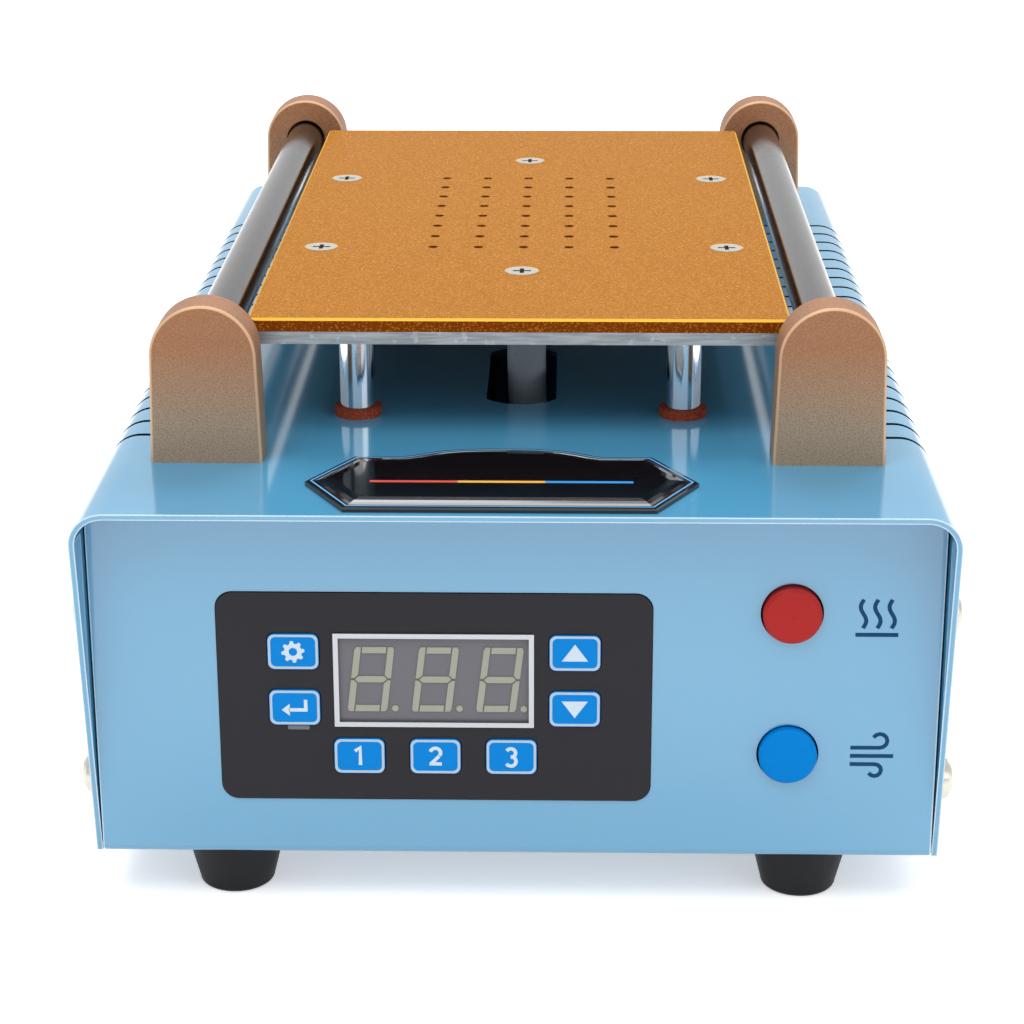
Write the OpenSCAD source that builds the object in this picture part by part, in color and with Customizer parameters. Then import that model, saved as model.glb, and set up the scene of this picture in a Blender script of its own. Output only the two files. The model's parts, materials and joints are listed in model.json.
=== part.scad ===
// Vacuum and heat separator for phone screens: a bent sheet case with a heated suction
// plate on top, two guide rollers beside it, a temperature control panel and a power inlet.
// Millimetres. The origin is on the table under the middle of the case, +Z is up and the
// control panel faces -Y.

/* [Case] */
// Width over the cover's two sides
body_w = 171; // [165:0.5:185]
// Height from the underside of the case to the cover's top
body_h = 76.8; // [75:0.2:90]
// Length of the cover's top, which overhangs both end panels
cover_len = 287; // [284:1:300]
// Distance between the outer faces of the front and rear panels
panel_span = 266.5; // [262:0.5:270]
// Thickness of the sheet that the case is bent from
sheet_t = 1.2; // [1:0.1:1.5]
// Outer radius of the cover's two long bends
bend_r = 7; // [5:0.5:9]
// How far each end of a cover side leans back between top and bottom
edge_lean = 11.5; // [9:0.5:12]
// Gap between the end panels and the cover
seam_gap = 0.4; // [0.3:0.1:0.6]
// Depth of the flanges that the end panels fold back along the sides
flange_d = 16; // [14:0.5:18]
// Height of the side screws above the underside, lower and upper row
side_screw_heights = [13.8, 49.8];
// Distance of the side screws from the middle of the case
side_screw_y = 124; // [123:0.5:125]

/* [Vents] */
// Number of cooling slots along each long bend
slot_count = 21; // [11:2:23]
// Distance between neighbouring slots
slot_pitch = 9.4; // [8.6:0.1:9.8]
// Width of a slot
slot_w = 1.5; // [1.2:0.1:2.2]
// How far a slot reaches onto the top from the side
slot_top_reach = 22; // [18:0.5:24]
// How far a slot reaches down the side from the top
slot_side_reach = 13; // [10:0.5:18]

/* [Cover openings] */
// Width of the two wire openings in the cover's top
wire_slot_w = 15.2; // [13.6:0.2:17.6]
// Length of the front opening, which the vacuum hose passes
hose_slot_l = 44; // [40:1:48]
// Length of the rear opening, which the heater leads pass
lead_slot_l = 25.6; // [24:0.2:28]
// Radius of the openings' ends
wire_slot_end_r = 9; // [8.9:0.1:11]
// Diameter of the two round openings beside the rear one
air_hole_d = 10; // [8:0.5:12]

/* [Feet] */
// Height of a rubber foot
foot_h = 12; // [10:0.5:16]
// Diameter of a foot where it meets the case
foot_top_d = 21; // [19:0.5:23]
// Diameter of a foot at the table
foot_low_d = 15.6; // [13.6:0.2:18]
// Distance of the feet from the cover's sides
foot_inset = 27; // [24:0.5:35]
// Distance of the feet from the middle, along the case
foot_y = 120; // [112:1:121]

/* [Heated plate] */
// Gap between the plate's long sides and the rollers
plate_side_gap = 2.35; // [1.95:0.05:3.6]
// Length of the work plate
plate_l = 193; // [188:1:198]
// Thickness of the anodised work plate
work_t = 2.8; // [2.4:0.1:3.4]
// Thickness of the bare vacuum plate below it
vacuum_t = 2.6; // [2.4:0.1:3.4]
// Clear height between the cover and the vacuum plate
plate_gap = 20.4; // [18:0.2:24]
// Diameter of a suction hole
suction_d = 2.2; // [1.6:0.1:2.8]
// Distance between neighbouring suction holes
suction_pitch = 10.2; // [9.6:0.1:11]
// Suction holes across the plate
suction_columns = 5; // [3:2:5]
// Suction holes along the plate
suction_rows = 8; // [6:2:8]
// Outer diameter of a plate standoff
standoff_d = 7.5; // [7:0.1:9]
// Distance of the standoffs from the plate's long sides
standoff_inset = 20.9; // [19.4:0.1:23.4]
// Distance of the standoffs from the middle, along the case
standoff_y = 78.5; // [76:0.5:82]
// Thickness of the fibre washer under a standoff
washer_t = 1.8; // [1.2:0.1:2.4]

/* [Guide rollers] */
// Diameter of a guide roller
roller_d = 9.5; // [8:0.1:10.5]
// Distance of the roller axes from the cover's sides
roller_inset = 23; // [21.5:0.1:23]
// Height of a roller bracket
bracket_h = 32.6; // [30:0.2:36]
// Thickness of a bracket along the roller
bracket_t = 9.6; // [9:0.1:11]
// Width of a bracket at its round top
bracket_top_w = 21.4; // [19:0.2:22]
// Width of a bracket at its foot
bracket_foot_w = 22.6; // [22:0.2:24]
// Distance of the brackets' outer faces from the middle
bracket_y = 112.4; // [111:0.2:116]
// Running gap round a roller's end in its bracket
roller_gap = 0.5; // [0.3:0.1:0.7]

/* [Control panel] */
// Width of the black control panel
panel_w = 86; // [84:0.5:90]
// Height of the black control panel
panel_h = 44.6; // [43.6:0.2:48]
// Corner radius of the control panel
panel_r = 3.5; // [2:0.5:6]
// Width of a key
key_w = 10.1; // [9.6:0.1:11]
// Height of a key
key_h = 7.5; // [7:0.1:8.3]
// How far a key can be pressed
key_travel = 0.4; // [0.3:0.05:0.6]
// Height of a display digit
digit_h = 13.8; // [11:0.2:14.4]
// Lean of the digits from upright, in degrees
digit_lean = 7; // [0:1:12]

/* [Push buttons] */
// Diameter of a push button
button_d = 11.6; // [10:0.1:14]
// How far a button can be pressed
button_travel = 2.5; // [1.5:0.1:2.8]
// How far a button stands out of the panel
button_proud = 2.2; // [1.6:0.1:3]
// Distance of the buttons' axes from the cover's side
button_inset = 31.2; // [29:0.2:33]

/* [Power inlet] */
// Width of the inlet's flange
inlet_w = 60; // [58:0.5:66]
// Height of the inlet's flange between its two tips
inlet_h = 50.4; // [49.4:0.2:56]
// Distance between the inlet's two screws
inlet_screw_span = 40; // [39:0.5:41]
// Width of the rocker
rocker_w = 11.2; // [10.4:0.1:11.2]
// Height of the rocker's window
rocker_h = 16.2; // [15:0.1:16.8]
// How far the rocker swings between off and on, in degrees
rocker_swing = 20; // [14:1:22]
// How far the fuse drawer pulls out
drawer_travel = 20; // [14:1:24]

/* [Vacuum pump] */
// Diameter of the pump's motor
motor_d = 30; // [26:0.5:32]
// Length of the pump's motor
motor_l = 52; // [46:1:56]
// Width and height of the square pump head
pump_head_w = 42; // [40:0.5:44]
// Outer diameter of the vacuum hose
hose_d = 8.7; // [8:0.1:9.2]

/* [Hidden] */
$fn = 48;
// Depth by which a cut runs past the face that it opens
over = 0.5;
// Clearance between two pieces that are put together by hand
fit = 0.15;
// Clearance round a screw in its hole
screw_gap = 0.2;

// Levels
tray_z = foot_h + sheet_t;
top_z = foot_h + body_h;
under_z = top_z - sheet_t;
vacuum_z = top_z + plate_gap;
work_z = vacuum_z + vacuum_t;
front_y = -panel_span / 2;
rear_y = panel_span / 2;
tray_w = body_w - 2 * sheet_t - 2 * seam_gap;
tray_bend_r = 2;
foot_x = body_w / 2 - foot_inset;
roller_x = body_w / 2 - roller_inset;
plate_w = 2 * (roller_x - roller_d / 2 - plate_side_gap);
standoff_x = plate_w / 2 - standoff_inset;

// Screws: shank, head across and head height
m4 = 4;
m4_head_d = 8;
m4_head_h = 2.2;
m3 = 3;
m3_head_d = 6.4;
m3_head_h = 1.9;
side_screw_l = 7;
side_head_d = 9;
side_head_h = 3.2;
recess_w = 0.9;
recess_depth = 1;
recess_share = 0.55;

// Cover openings
hose_slot_y = -49.8;
lead_slot_y = 48.6;
air_hole_x = 18.2;
air_hole_y = 39.4;
plug_x = -8.8;
plug_y = 129.6;
plug_d = 5.4;
plug_h = 1.4;
plug_stem_d = 3;

// Foot
foot_edge_r = 1.2;
foot_bore_d = 9;
foot_bore_h = 7;
foot_screw_l = 10;

// Plates
plate_r = 2;
plate_edge = 0.5;
plate_screw_inset = 9.8;
plate_screw_x = plate_w / 2 - plate_screw_inset;
plate_screw_y = 35.7;
plate_end_screw_y = 57;
plate_screw_places = concat(
    [for (sx = [-1, 1], sy = [-1, 1]) [sx * plate_screw_x, sy * plate_screw_y]],
    [for (sy = [-1, 1]) [0, sy * plate_end_screw_y]]);
plate_screw_d = 3.5;
plate_screw_head_d = 7.2;
plate_screw_head_h = 1.9;
channel_w = 3;
channel_depth = 1.1;
port_d = 4;
port_x = 0.8;
port_y = -43;
standoff_spigot_d = 4;
standoff_spigot_l = 2;
washer_d = 10;
mat_inset = 7.4;
mat_w = plate_w - 2 * mat_inset;
mat_l = 140;
mat_t = 1.5;
mat_relief_d = 16;

// Brackets and rollers
bracket_edge = 0.8;
roller_z = top_z + bracket_h - bracket_top_w / 2;
bracket_recess_depth = 3;
bracket_bore_depth = 8;
journal_d = 5;
journal_gap = 0.05;
roller_end_gap = 0.4;
roller_chamfer = 0.6;
bracket_inner_y = bracket_y - bracket_t;
bracket_screw_span = 12;
bracket_screw_l = 9;
roller_l = 2 * (bracket_inner_y + bracket_recess_depth - roller_end_gap);
journal_l = bracket_bore_depth - bracket_recess_depth;

// Name plate, left bare
plate_mark_x = -2.75;
plate_mark_y = -125.8;
plate_mark_t = 0.8;
plate_mark_l = 77.3;
plate_mark_d = 31.4;
plate_mark_bump = 5.2;
plate_mark_shares = [0.5, 0.388, 0.262];
plate_mark_crest = [[1, 0], [0.9, 0.14], [0.78, 0.42], [0.62, 0.72], [0.42, 0.91], [0.18, 1]];

// Control panel
panel_x = -16;
panel_drop = 41.9;
panel_z = top_z - panel_drop;
panel_proud = 0.3;
panel_lip = 2;
panel_lip_t = 1.2;
panel_back_y = front_y + sheet_t + panel_lip_t;
key_r = 1.4;
key_gap = 0.2;
key_proud = 0.35;
key_collar = 0.5;
key_collar_t = 0.8;
key_collar_gap = 0.1;
key_places = [[-27.9, 9.9], [-27.9, -2.1], [27.8, 9.9], [27.8, -2.1],
              [-15.2, -12.6], [0, -12.6], [15.2, -12.6]];
frame_w = 39.7;
frame_h = 20;
frame_rim = 1;
frame_t = 0.45;
frame_x = -0.15;
frame_rise = 3.85;
display_drop = 0.5;
segment_w = 1.3;
segment_t = 0.25;
segment_gap = 0.25;
digit_pitch = 12.8;
digit_w = 6.6;
digit_shift = 0.3;
dot_d = 1.3;
dot_x = 4.75;
tact_w = 6;
tact_h = 3.5;
tact_tip_d = 3.4;
tact_tip_h = 0.8;
tact_play = 0.03;
board_t = 1.6;
board_y = panel_back_y + key_collar_gap + key_collar_t + key_travel + tact_play + tact_tip_h + tact_h;
board_edge = 1;
boss_d = 5;
boss_inset = 4.2;
board_screw_d = 2.2;
board_screw_head_d = 4;
board_screw_head_h = 1.4;
board_screw_l = 5;

// Push buttons
button_x = body_w / 2 - button_inset;
button_drops = [23.5, 53.6];
button_gap = 0.4;
button_l = 10;
button_edge = 0.7;
button_stem_w = 3.4;
button_stem_l = 6;
button_pin_gap = 0.2;
switch_w = 8.5;
switch_l = 14;
switch_gap = 0.4;
switch_y = front_y - button_proud + button_l + button_travel + switch_gap;
holder_t = 1.2;
holder_w = 24;
holder_foot_l = 14;
holder_y = switch_y + switch_l + board_t;
holder_top = 64;

// Power inlet
inlet_x = -35.6;
inlet_drop = 38.2;
inlet_z = top_z - inlet_drop;
inlet_flange_t = 2.4;
inlet_side_h = 27.4;
inlet_frame_w = 56.8;
inlet_frame_h = 29;
inlet_frame_r = 1.8;
inlet_frame_t = 2;
inlet_body_w = 50;
inlet_body_h = 27.2;
inlet_body_l = 27;
inlet_face_y = rear_y + inlet_flange_t + inlet_frame_t;
rocker_place = 13.85;
bezel_w = 15.6;
bezel_h = 21.4;
bezel_r = 0.8;
bezel_proud = 0.9;
bezel_step = 2;
rocker_gap = 0.35;
rocker_pin_d = 2.4;
rocker_pin_gap = 0.08;
rocker_pin_l = 1.2;
rocker_depth = 3.6;
rocker_case_w = 14;
rocker_case_h = 19.6;
rocker_case_l = 20;
rocker_well = 13;
rocker_face_r = 30;
rocker_body_r = 7.8;
rocker_face_rise = 4.4;
rocker_back = 4;
drawer_place = -0.4;
drawer_w = 8.8;
drawer_h = 23.8;
drawer_gap = 0.2;
drawer_tab_w = 2;
drawer_tab_h = 7.9;
drawer_face_t = 2;
drawer_body_w = 7.4;
drawer_body_h = 21.6;
drawer_l = drawer_travel + drawer_face_t;
fuse_d = 5.2;
fuse_l = 20;
fuse_cap_l = 5;
fuse_glass_d = 4.8;
fuse_gap = 0.15;
socket_place = -15.55;
socket_w = 17.2;
socket_h = 24.6;
socket_chamfer = 4.6;
socket_r = 1.8;
socket_l = 16;
pin_pitch = 14;
pin_offset = 4;
pin_w = 4;
pin_t = 2;
pin_recess = 4.6;
pin_tail_l = 8;
pin_shift = 2;
pin_gap = 0.05;

// Vacuum pump
pump_x = 30;
pump_head_l = 30;
pump_head_y = -12;
pump_z = tray_z + pump_head_w / 2;
pump_wall = 3;
pump_lid_t = 3;
motor_y = pump_head_y + pump_head_l;
motor_boss_d = 10;
motor_boss_l = 3;
shaft_d = 3;
shaft_gap = 0.05;
shaft_l = 14;
crank_d = 17;
crank_t = 7;
crank_gap = 1;
crank_pin_d = 5;
crank_pin_l = 5;
crank_throw = 4;
clamp_w = 14;
clamp_t = 2;
clamp_foot = 9;
nozzle_x = -9;
nozzle_z = 14;
nozzle_d = 5.8;
nozzle_l = 9;
nozzle_bore_d = 3;
hose_bore_d = 6;
barb_flange_d = 13;
barb_flange_t = 2;
barb_l = 9;

// Power board
supply_x = -36;
supply_y = 34;
supply_w = 64;
supply_l = 104;
supply_post_h = 6;
supply_post_d = 6;
supply_post_inset = 5;
core_w = 34;
core_l = 40;
core_h = 30;
cap_d = 14;
cap_shares = [0.6, 1.65];
cap_h = 26;
sink_w = 44;
sink_t = 3;
sink_h = 24;
header_w = 12;
header_l = 8;
header_h = 10;
terminal_w = 20;
terminal_l = 9;
terminal_h = 11.2;
terminal_x = -14;
terminal_y = 66;

// Routes of the hose, leads and sleeves, above the table. The points are chosen by hand.
hose_route = [[0.8, -43, 107.2], [0.8, -43, 98], [0.8, -43, 89], [1.2, -42.8, 80], [3.2, -41.5, 71],
              [7.5, -38, 62.4], [13, -33, 55], [18, -27.5, 50.2], [20.5, -23, 48.4], [21, -18, 48.2],
              [21, -12.4, 48.2]];
sleeve_route = [[6.8, 60, 105.6], [6, 66, 103.2], [4.6, 72, 100.6], [2.2, 78, 98.2], [-0.6, 84, 96.1],
                [-3.8, 90, 94.3], [-7.8, 97.2, 92.7]];
lead_routes = [
    [[-7.4, 96.4, 93.6], [-8.6, 98.5, 93.1], [-10.8, 100.9, 92.4], [-13.4, 101.6, 91.9], [-16, 99, 91.6],
     [-18, 92, 91.7], [-18.6, 84, 92], [-17.4, 76, 92.1], [-15, 69.6, 92], [-11.8, 65.4, 91.7],
     [-8.4, 61.6, 91.2], [-5.8, 58.4, 89.6], [-5, 57.6, 86.4], [-6, 59, 78], [-8.4, 63, 66],
     [-10, 66, 50], [-10, 66, 32]],
    [[-7.2, 96.2, 92.2], [-8.4, 98.2, 91.5], [-10.6, 99.6, 90.8], [-13.4, 98.9, 90.4], [-15.2, 95.2, 90.4],
     [-15.4, 90.6, 90.8], [-14.4, 85, 91.2], [-12.4, 79.4, 91.4], [-10, 74, 91.3], [-7.4, 68, 90.8],
     [-5, 62.4, 90], [-3.2, 58.6, 88.6], [-2.6, 57, 85.8], [-3.4, 59.6, 78], [-9, 64.6, 66],
     [-14, 66, 50], [-14, 66, 32]]];
lead_d = 1.3;
sleeve_d = 4;
sleeve_bore_d = 3.2;
sleeve_rib_depth = 0.15;
sensor_route = [[-2.9, 48, 106.1], [-2.9, 48, 99], [-2.9, 48, 91], [-2.7, 48.6, 84], [-1.4, 50.4, 76],
                [0.8, 55, 64], [0.6, 61, 52], [-5.6, 65.6, 42], [-6, 66, 32]];
sensor_lead_d = 1.8;
sensor_tube_d = 3.3;
sensor_tube_bore_d = 2.2;
sensor_tube_l = 14;
sensor_lug_d = 7;
sensor_lug_t = 1.6;
harness_routes = [
    [[button_x, -106.9, 65.3], [button_x, -100, 66], [44, -90, 69], [26, -78, 73], [4, -68, 76], [-14, -58, 74],
     [-28, -44, 62], [-36, -31, 42], [-38, -24, 28.6], [-38, -18, 27]],
    [[button_x, -106.9, 35.2], [button_x, -98, 37], [44, -84, 52], [27, -70, 68], [6, -60, 74.6], [-12, -50, 72],
     [-25, -40, 60], [-30, -31, 42], [-32, -24, 28.6], [-32, -18, 27]]];
harness_d = 2;
tube_sides = 8;

// Shapes that several sub-parts share

module rounded(w, h, r) {
    square([w - 2 * r, h], center = true);
    square([w, h - 2 * r], center = true);
    for (sx = [-1, 1], sy = [-1, 1])
        translate([sx * (w / 2 - r), sy * (h / 2 - r)]) circle(r);
}

// A profile in the Y-Z plane, drawn out along X
module along_x(length) {
    rotate([90, 0, 90]) linear_extrude(length, center = true) children();
}

// A shape drawn looking at the front panel: its +Z points out of the panel
module on_front(x, y, z) {
    translate([x, y, z]) rotate([90, 0, 0]) children();
}

// A shape drawn on the rear panel: its +Z points out of the panel and its +Y points down
module on_rear(x, y, z) {
    translate([x, y, z]) rotate([-90, 0, 0]) children();
}

module four(x, y) {
    for (sx = [-1, 1], sy = [-1, 1]) translate([sx * x, sy * y]) children();
}

// A pan head screw with a cross recess, standing on Z = 0 with its shank below
module pan_screw(d, head_d, head_h, length) {
    difference() {
        union() {
            rotate_extrude() polygon([
                [0, 0], [head_d / 2, 0], [head_d / 2, head_h * 0.35], [head_d * 0.45, head_h * 0.68],
                [head_d * 0.36, head_h * 0.9], [head_d * recess_share / 2, head_h], [0, head_h]]);
            translate([0, 0, -length]) cylinder(length + head_h / 4, d = d);
        }
        for (a = [0, 90])
            rotate([0, 0, a])
                translate([0, 0, head_h])
                    cube([head_d * recess_share, recess_w, 2 * recess_depth], center = true);
    }
}

function unit(v) = v / norm(v);
function tangent(p, i) = unit(p[min(i + 1, len(p) - 1)] - p[max(i - 1, 0)]);
function across(v) = unit(cross(v, abs(v.z) < 0.9 ? [0, 0, 1] : [1, 0, 0]));
function carried(p, n, i) =
    i == len(p) ? [] :
    let (t = tangent(p, i), m = unit(n - (n * t) * t))
    concat([m], carried(p, m, i + 1));
function spline(a, b, c, d, t) =
    (2 * b + (c - a) * t + (2 * a - 5 * b + 4 * c - d) * t * t + (3 * b - a - 3 * c + d) * t * t * t) / 2;
function smooth(p, steps) = concat(
    [for (i = [0:len(p) - 2], s = [0:steps - 1])
        spline(p[max(i - 1, 0)], p[i], p[i + 1], p[min(i + 2, len(p) - 1)], s / steps)],
    [p[len(p) - 1]]);

// A tube swept along a path, with one diameter for each point of the path
module swept(path, diameters) {
    n = len(path);
    k = tube_sides;
    normals = carried(path, across(tangent(path, 0)), 0);
    points = [for (i = [0:n - 1], j = [0:k - 1])
        let (t = tangent(path, i), m = normals[i], a = 360 * j / k)
        path[i] + diameters[i] / 2 * (cos(a) * m + sin(a) * cross(t, m))];
    sides = [for (i = [0:n - 2], j = [0:k - 1], h = [0, 1])
        let (a = i * k + j, b = i * k + (j + 1) % k)
        h == 0 ? [a, a + k, b + k] : [a, b + k, b]];
    ends = [[for (j = [0:k - 1]) j], [for (j = [k - 1:-1:0]) (n - 1) * k + j]];
    polyhedron(points, concat(sides, ends));
}

module lead(route, d, steps) {
    path = smooth(route, steps);
    swept(path, [for (p = path) d]);
}

// Turns a child from +Z onto a direction
module towards(v) {
    rotate([0, acos(unit(v).z), atan2(v.y, v.x)]) children();
}

// Case

module tray_profile() {
    height = under_z - seam_gap - foot_h;
    difference() {
        union() {
            translate([0, height / 2 + tray_bend_r / 2])
                square([panel_span, height - tray_bend_r], center = true);
            translate([0, tray_bend_r])
                square([panel_span - 2 * tray_bend_r, 2 * tray_bend_r], center = true);
            for (s = [-1, 1])
                translate([s * (panel_span / 2 - tray_bend_r), tray_bend_r]) circle(tray_bend_r);
        }
        translate([0, sheet_t + height / 2]) square([panel_span - 2 * sheet_t, height], center = true);
    }
}

module side_screw_places() {
    for (s = [-1, 1], y = [-side_screw_y, side_screw_y], h = side_screw_heights)
        translate([s * body_w / 2, y, foot_h + h]) rotate([0, s * 90, 0]) children();
}

module base_tray() {
    flange_h = under_z - bend_r - tray_z - tray_bend_r;
    color("skyblue") difference() {
        union() {
            intersection() {
                translate([0, 0, foot_h]) along_x(tray_w) tray_profile();
                rotate([90, 0, 0]) linear_extrude(panel_span + 2 * over, center = true)
                    cover_profile(sheet_t + seam_gap);
            }
            for (sx = [-1, 1], sy = [-1, 1])
                translate([sx * (tray_w - sheet_t) / 2,
                           sy * (panel_span / 2 - sheet_t / 2 - flange_d / 2),
                           tray_z + tray_bend_r + flange_h / 2 - sheet_t])
                    cube([sheet_t, flange_d, flange_h], center = true);
        }
        on_front(panel_x, front_y + sheet_t + over, panel_z)
            linear_extrude(sheet_t + 2 * over) rounded(panel_w + 2 * fit, panel_h + 2 * fit, panel_r);
        for (drop = button_drops)
            on_front(button_x, front_y + sheet_t + over, top_z - drop)
                cylinder(sheet_t + 2 * over, d = button_d + 2 * button_gap);
        on_rear(inlet_x, rear_y - sheet_t - over, inlet_z) {
            linear_extrude(sheet_t + 2 * over)
                square([inlet_body_w + 2 * fit, inlet_body_h + 2 * fit], center = true);
            for (s = [-1, 1])
                translate([0, s * inlet_screw_span / 2]) cylinder(sheet_t + 2 * over, d = m3 + 2 * screw_gap);
        }
        four(foot_x, foot_y) translate([0, 0, foot_h - over])
            cylinder(sheet_t + 2 * over, d = m4 + 2 * screw_gap);
        side_screw_places() translate([0, 0, -side_screw_l]) cylinder(side_screw_l, d = m4 + 2 * screw_gap);
    }
}

module cover_profile(inset) {
    w = body_w - 2 * inset;
    r = bend_r - inset;
    h = body_h - inset;
    translate([0, foot_h]) {
        translate([0, (h - r) / 2]) square([w, h - r], center = true);
        translate([0, h - r]) square([w - 2 * r, 2 * r], center = true);
        for (s = [-1, 1]) translate([s * (w / 2 - r), h - r]) circle(r);
    }
}

module wire_slot(length) {
    r = wire_slot_end_r;
    intersection() {
        square([wire_slot_w, length], center = true);
        union() {
            square([wire_slot_w, length - 2 * r], center = true);
            for (s = [-1, 1]) translate([0, s * (length / 2 - r)]) circle(r);
        }
    }
}

module vent_slot() {
    top_end = body_w / 2 - slot_top_reach + slot_w / 2;
    side_end = top_z - slot_side_reach + slot_w / 2;
    translate([top_end, -slot_w / 2, side_end]) cube([body_w / 2, slot_w, body_h]);
    translate([top_end, 0, top_z - 2 * sheet_t]) cylinder(3 * sheet_t, d = slot_w);
    translate([body_w / 2 - 2 * sheet_t, 0, side_end]) rotate([0, 90, 0]) cylinder(3 * sheet_t, d = slot_w);
}

module bracket_places() {
    for (sx = [-1, 1], sy = [-1, 1])
        translate([sx * roller_x, sy * (bracket_y - bracket_t / 2), top_z]) children();
}

module cover() {
    color("lightblue") difference() {
        intersection() {
            rotate([90, 0, 0]) linear_extrude(cover_len, center = true) difference() {
                cover_profile(0);
                cover_profile(sheet_t);
                translate([0, foot_h]) square([body_w - 2 * sheet_t, 2 * over], center = true);
            }
            along_x(body_w + 2 * over) polygon([
                [-cover_len / 2, top_z], [cover_len / 2, top_z],
                [cover_len / 2 - edge_lean, foot_h], [edge_lean - cover_len / 2, foot_h]]);
        }
        for (s = [0, 1], i = [0:slot_count - 1])
            mirror([s, 0, 0]) translate([0, (i - (slot_count - 1) / 2) * slot_pitch, 0]) vent_slot();
        translate([0, 0, under_z - over]) {
            translate([0, hose_slot_y]) linear_extrude(sheet_t + 2 * over) wire_slot(hose_slot_l);
            translate([0, lead_slot_y]) linear_extrude(sheet_t + 2 * over) wire_slot(lead_slot_l);
            for (s = [-1, 1])
                translate([s * air_hole_x, air_hole_y]) cylinder(sheet_t + 2 * over, d = air_hole_d);
            translate([plug_x, plug_y]) cylinder(sheet_t + 2 * over, d = plug_stem_d + 2 * fit);
            four(standoff_x, standoff_y) cylinder(sheet_t + 2 * over, d = m3 + 2 * screw_gap);
        }
        bracket_places() for (s = [-1, 1])
            translate([s * bracket_screw_span / 2, 0, -sheet_t - over])
                cylinder(sheet_t + 2 * over, d = m4 + 2 * screw_gap);
        side_screw_places() translate([0, 0, -side_screw_l])
            cylinder(side_screw_l + over, d = m4 + 2 * screw_gap);
    }
}

module feet() {
    color([0.08, 0.08, 0.09]) four(foot_x, foot_y) rotate_extrude() difference() {
        union() {
            polygon([[0, 0], [foot_low_d / 2 - foot_edge_r, 0], [foot_low_d / 2, foot_edge_r],
                     [foot_top_d / 2, foot_h], [0, foot_h]]);
            translate([foot_low_d / 2 - foot_edge_r, foot_edge_r]) circle(foot_edge_r);
        }
        square([foot_bore_d / 2, foot_bore_h]);
        square([m4 / 2 + screw_gap, foot_h]);
    }
}

module foot_screws() {
    color("silver") four(foot_x, foot_y) translate([0, 0, foot_bore_h]) rotate([180, 0, 0])
        pan_screw(m4, m4_head_d, m4_head_h, foot_screw_l);
}

module side_screws() {
    color("silver") side_screw_places() pan_screw(m4, side_head_d, side_head_h, side_screw_l);
}

module hole_plug() {
    color("whitesmoke") translate([plug_x, plug_y, top_z]) {
        cylinder(plug_h / 2, d = plug_d);
        translate([0, 0, plug_h / 2]) cylinder(plug_h / 2, d1 = plug_d, d2 = plug_stem_d);
        translate([0, 0, -2 * sheet_t]) cylinder(2 * sheet_t, d = plug_stem_d);
    }
}

module name_plate() {
    half = plate_mark_l * plate_mark_shares;
    low = plate_mark_y - plate_mark_d / 2;
    high = plate_mark_y + plate_mark_d / 2;
    crest = [for (p = plate_mark_crest) [half[2] * p[0], high + plate_mark_bump * p[1]]];
    color([0.05, 0.05, 0.06]) translate([plate_mark_x, 0, top_z]) linear_extrude(plate_mark_t)
        polygon(concat(
            [[-half[1], high], [-half[0], plate_mark_y], [-half[1], low],
             [half[1], low], [half[0], plate_mark_y], [half[1], high]],
            crest,
            [for (i = [len(crest) - 1:-1:0]) [-crest[i].x, crest[i].y]]));
}

// Heated plate

module suction_places() {
    for (i = [0:suction_columns - 1], j = [0:suction_rows - 1])
        translate([(i - (suction_columns - 1) / 2) * suction_pitch,
                   (j - (suction_rows - 1) / 2) * suction_pitch]) children();
}

module edge_cut(length) {
    rotate([90, 0, 0]) rotate([0, 0, 45])
        cube([plate_edge * sqrt(2), plate_edge * sqrt(2), length], center = true);
}

module work_plate() {
    color([0.82, 0.55, 0.2]) translate([0, 0, work_z]) difference() {
        linear_extrude(work_t) rounded(plate_w, plate_l, plate_r);
        suction_places() translate([0, 0, -over]) cylinder(work_t + 2 * over, d = suction_d, $fn = 24);
        for (p = plate_screw_places) translate(p) {
            translate([0, 0, -over]) cylinder(work_t + 2 * over, d = plate_screw_d + 2 * screw_gap);
            translate([0, 0, work_t - plate_screw_head_h])
                cylinder(plate_screw_head_h, d1 = plate_screw_d, d2 = plate_screw_head_d + 2 * screw_gap);
            translate([0, 0, work_t]) cylinder(over, d = plate_screw_head_d + 2 * screw_gap);
        }
        for (s = [-1, 1]) {
            translate([s * plate_w / 2, 0, work_t]) edge_cut(plate_l + 2 * over);
            translate([0, s * plate_l / 2, work_t]) rotate([0, 0, 90]) edge_cut(plate_w + 2 * over);
        }
    }
}

module vacuum_plate() {
    span = (suction_rows - 1) / 2 * suction_pitch;
    reach = (suction_columns - 1) / 2 * suction_pitch;
    color([0.78, 0.79, 0.8]) translate([0, 0, vacuum_z]) difference() {
        linear_extrude(vacuum_t) rounded(plate_w, plate_l, plate_r);
        for (i = [0:suction_columns - 1])
            translate([(i - (suction_columns - 1) / 2) * suction_pitch, (span + port_y) / 2, vacuum_t])
                cube([channel_w, span - port_y + channel_w, 2 * channel_depth], center = true);
        translate([0, port_y, vacuum_t]) cube([2 * reach, channel_w, 2 * channel_depth], center = true);
        translate([port_x, port_y, -over]) cylinder(vacuum_t, d = port_d);
        for (p = plate_screw_places)
            translate([p.x, p.y, -over]) cylinder(vacuum_t + 2 * over, d = plate_screw_d + 2 * fit);
        four(standoff_x, standoff_y) translate([0, 0, -over])
            cylinder(standoff_spigot_l + 2 * over, d = standoff_spigot_d + 2 * fit);
    }
}

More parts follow.
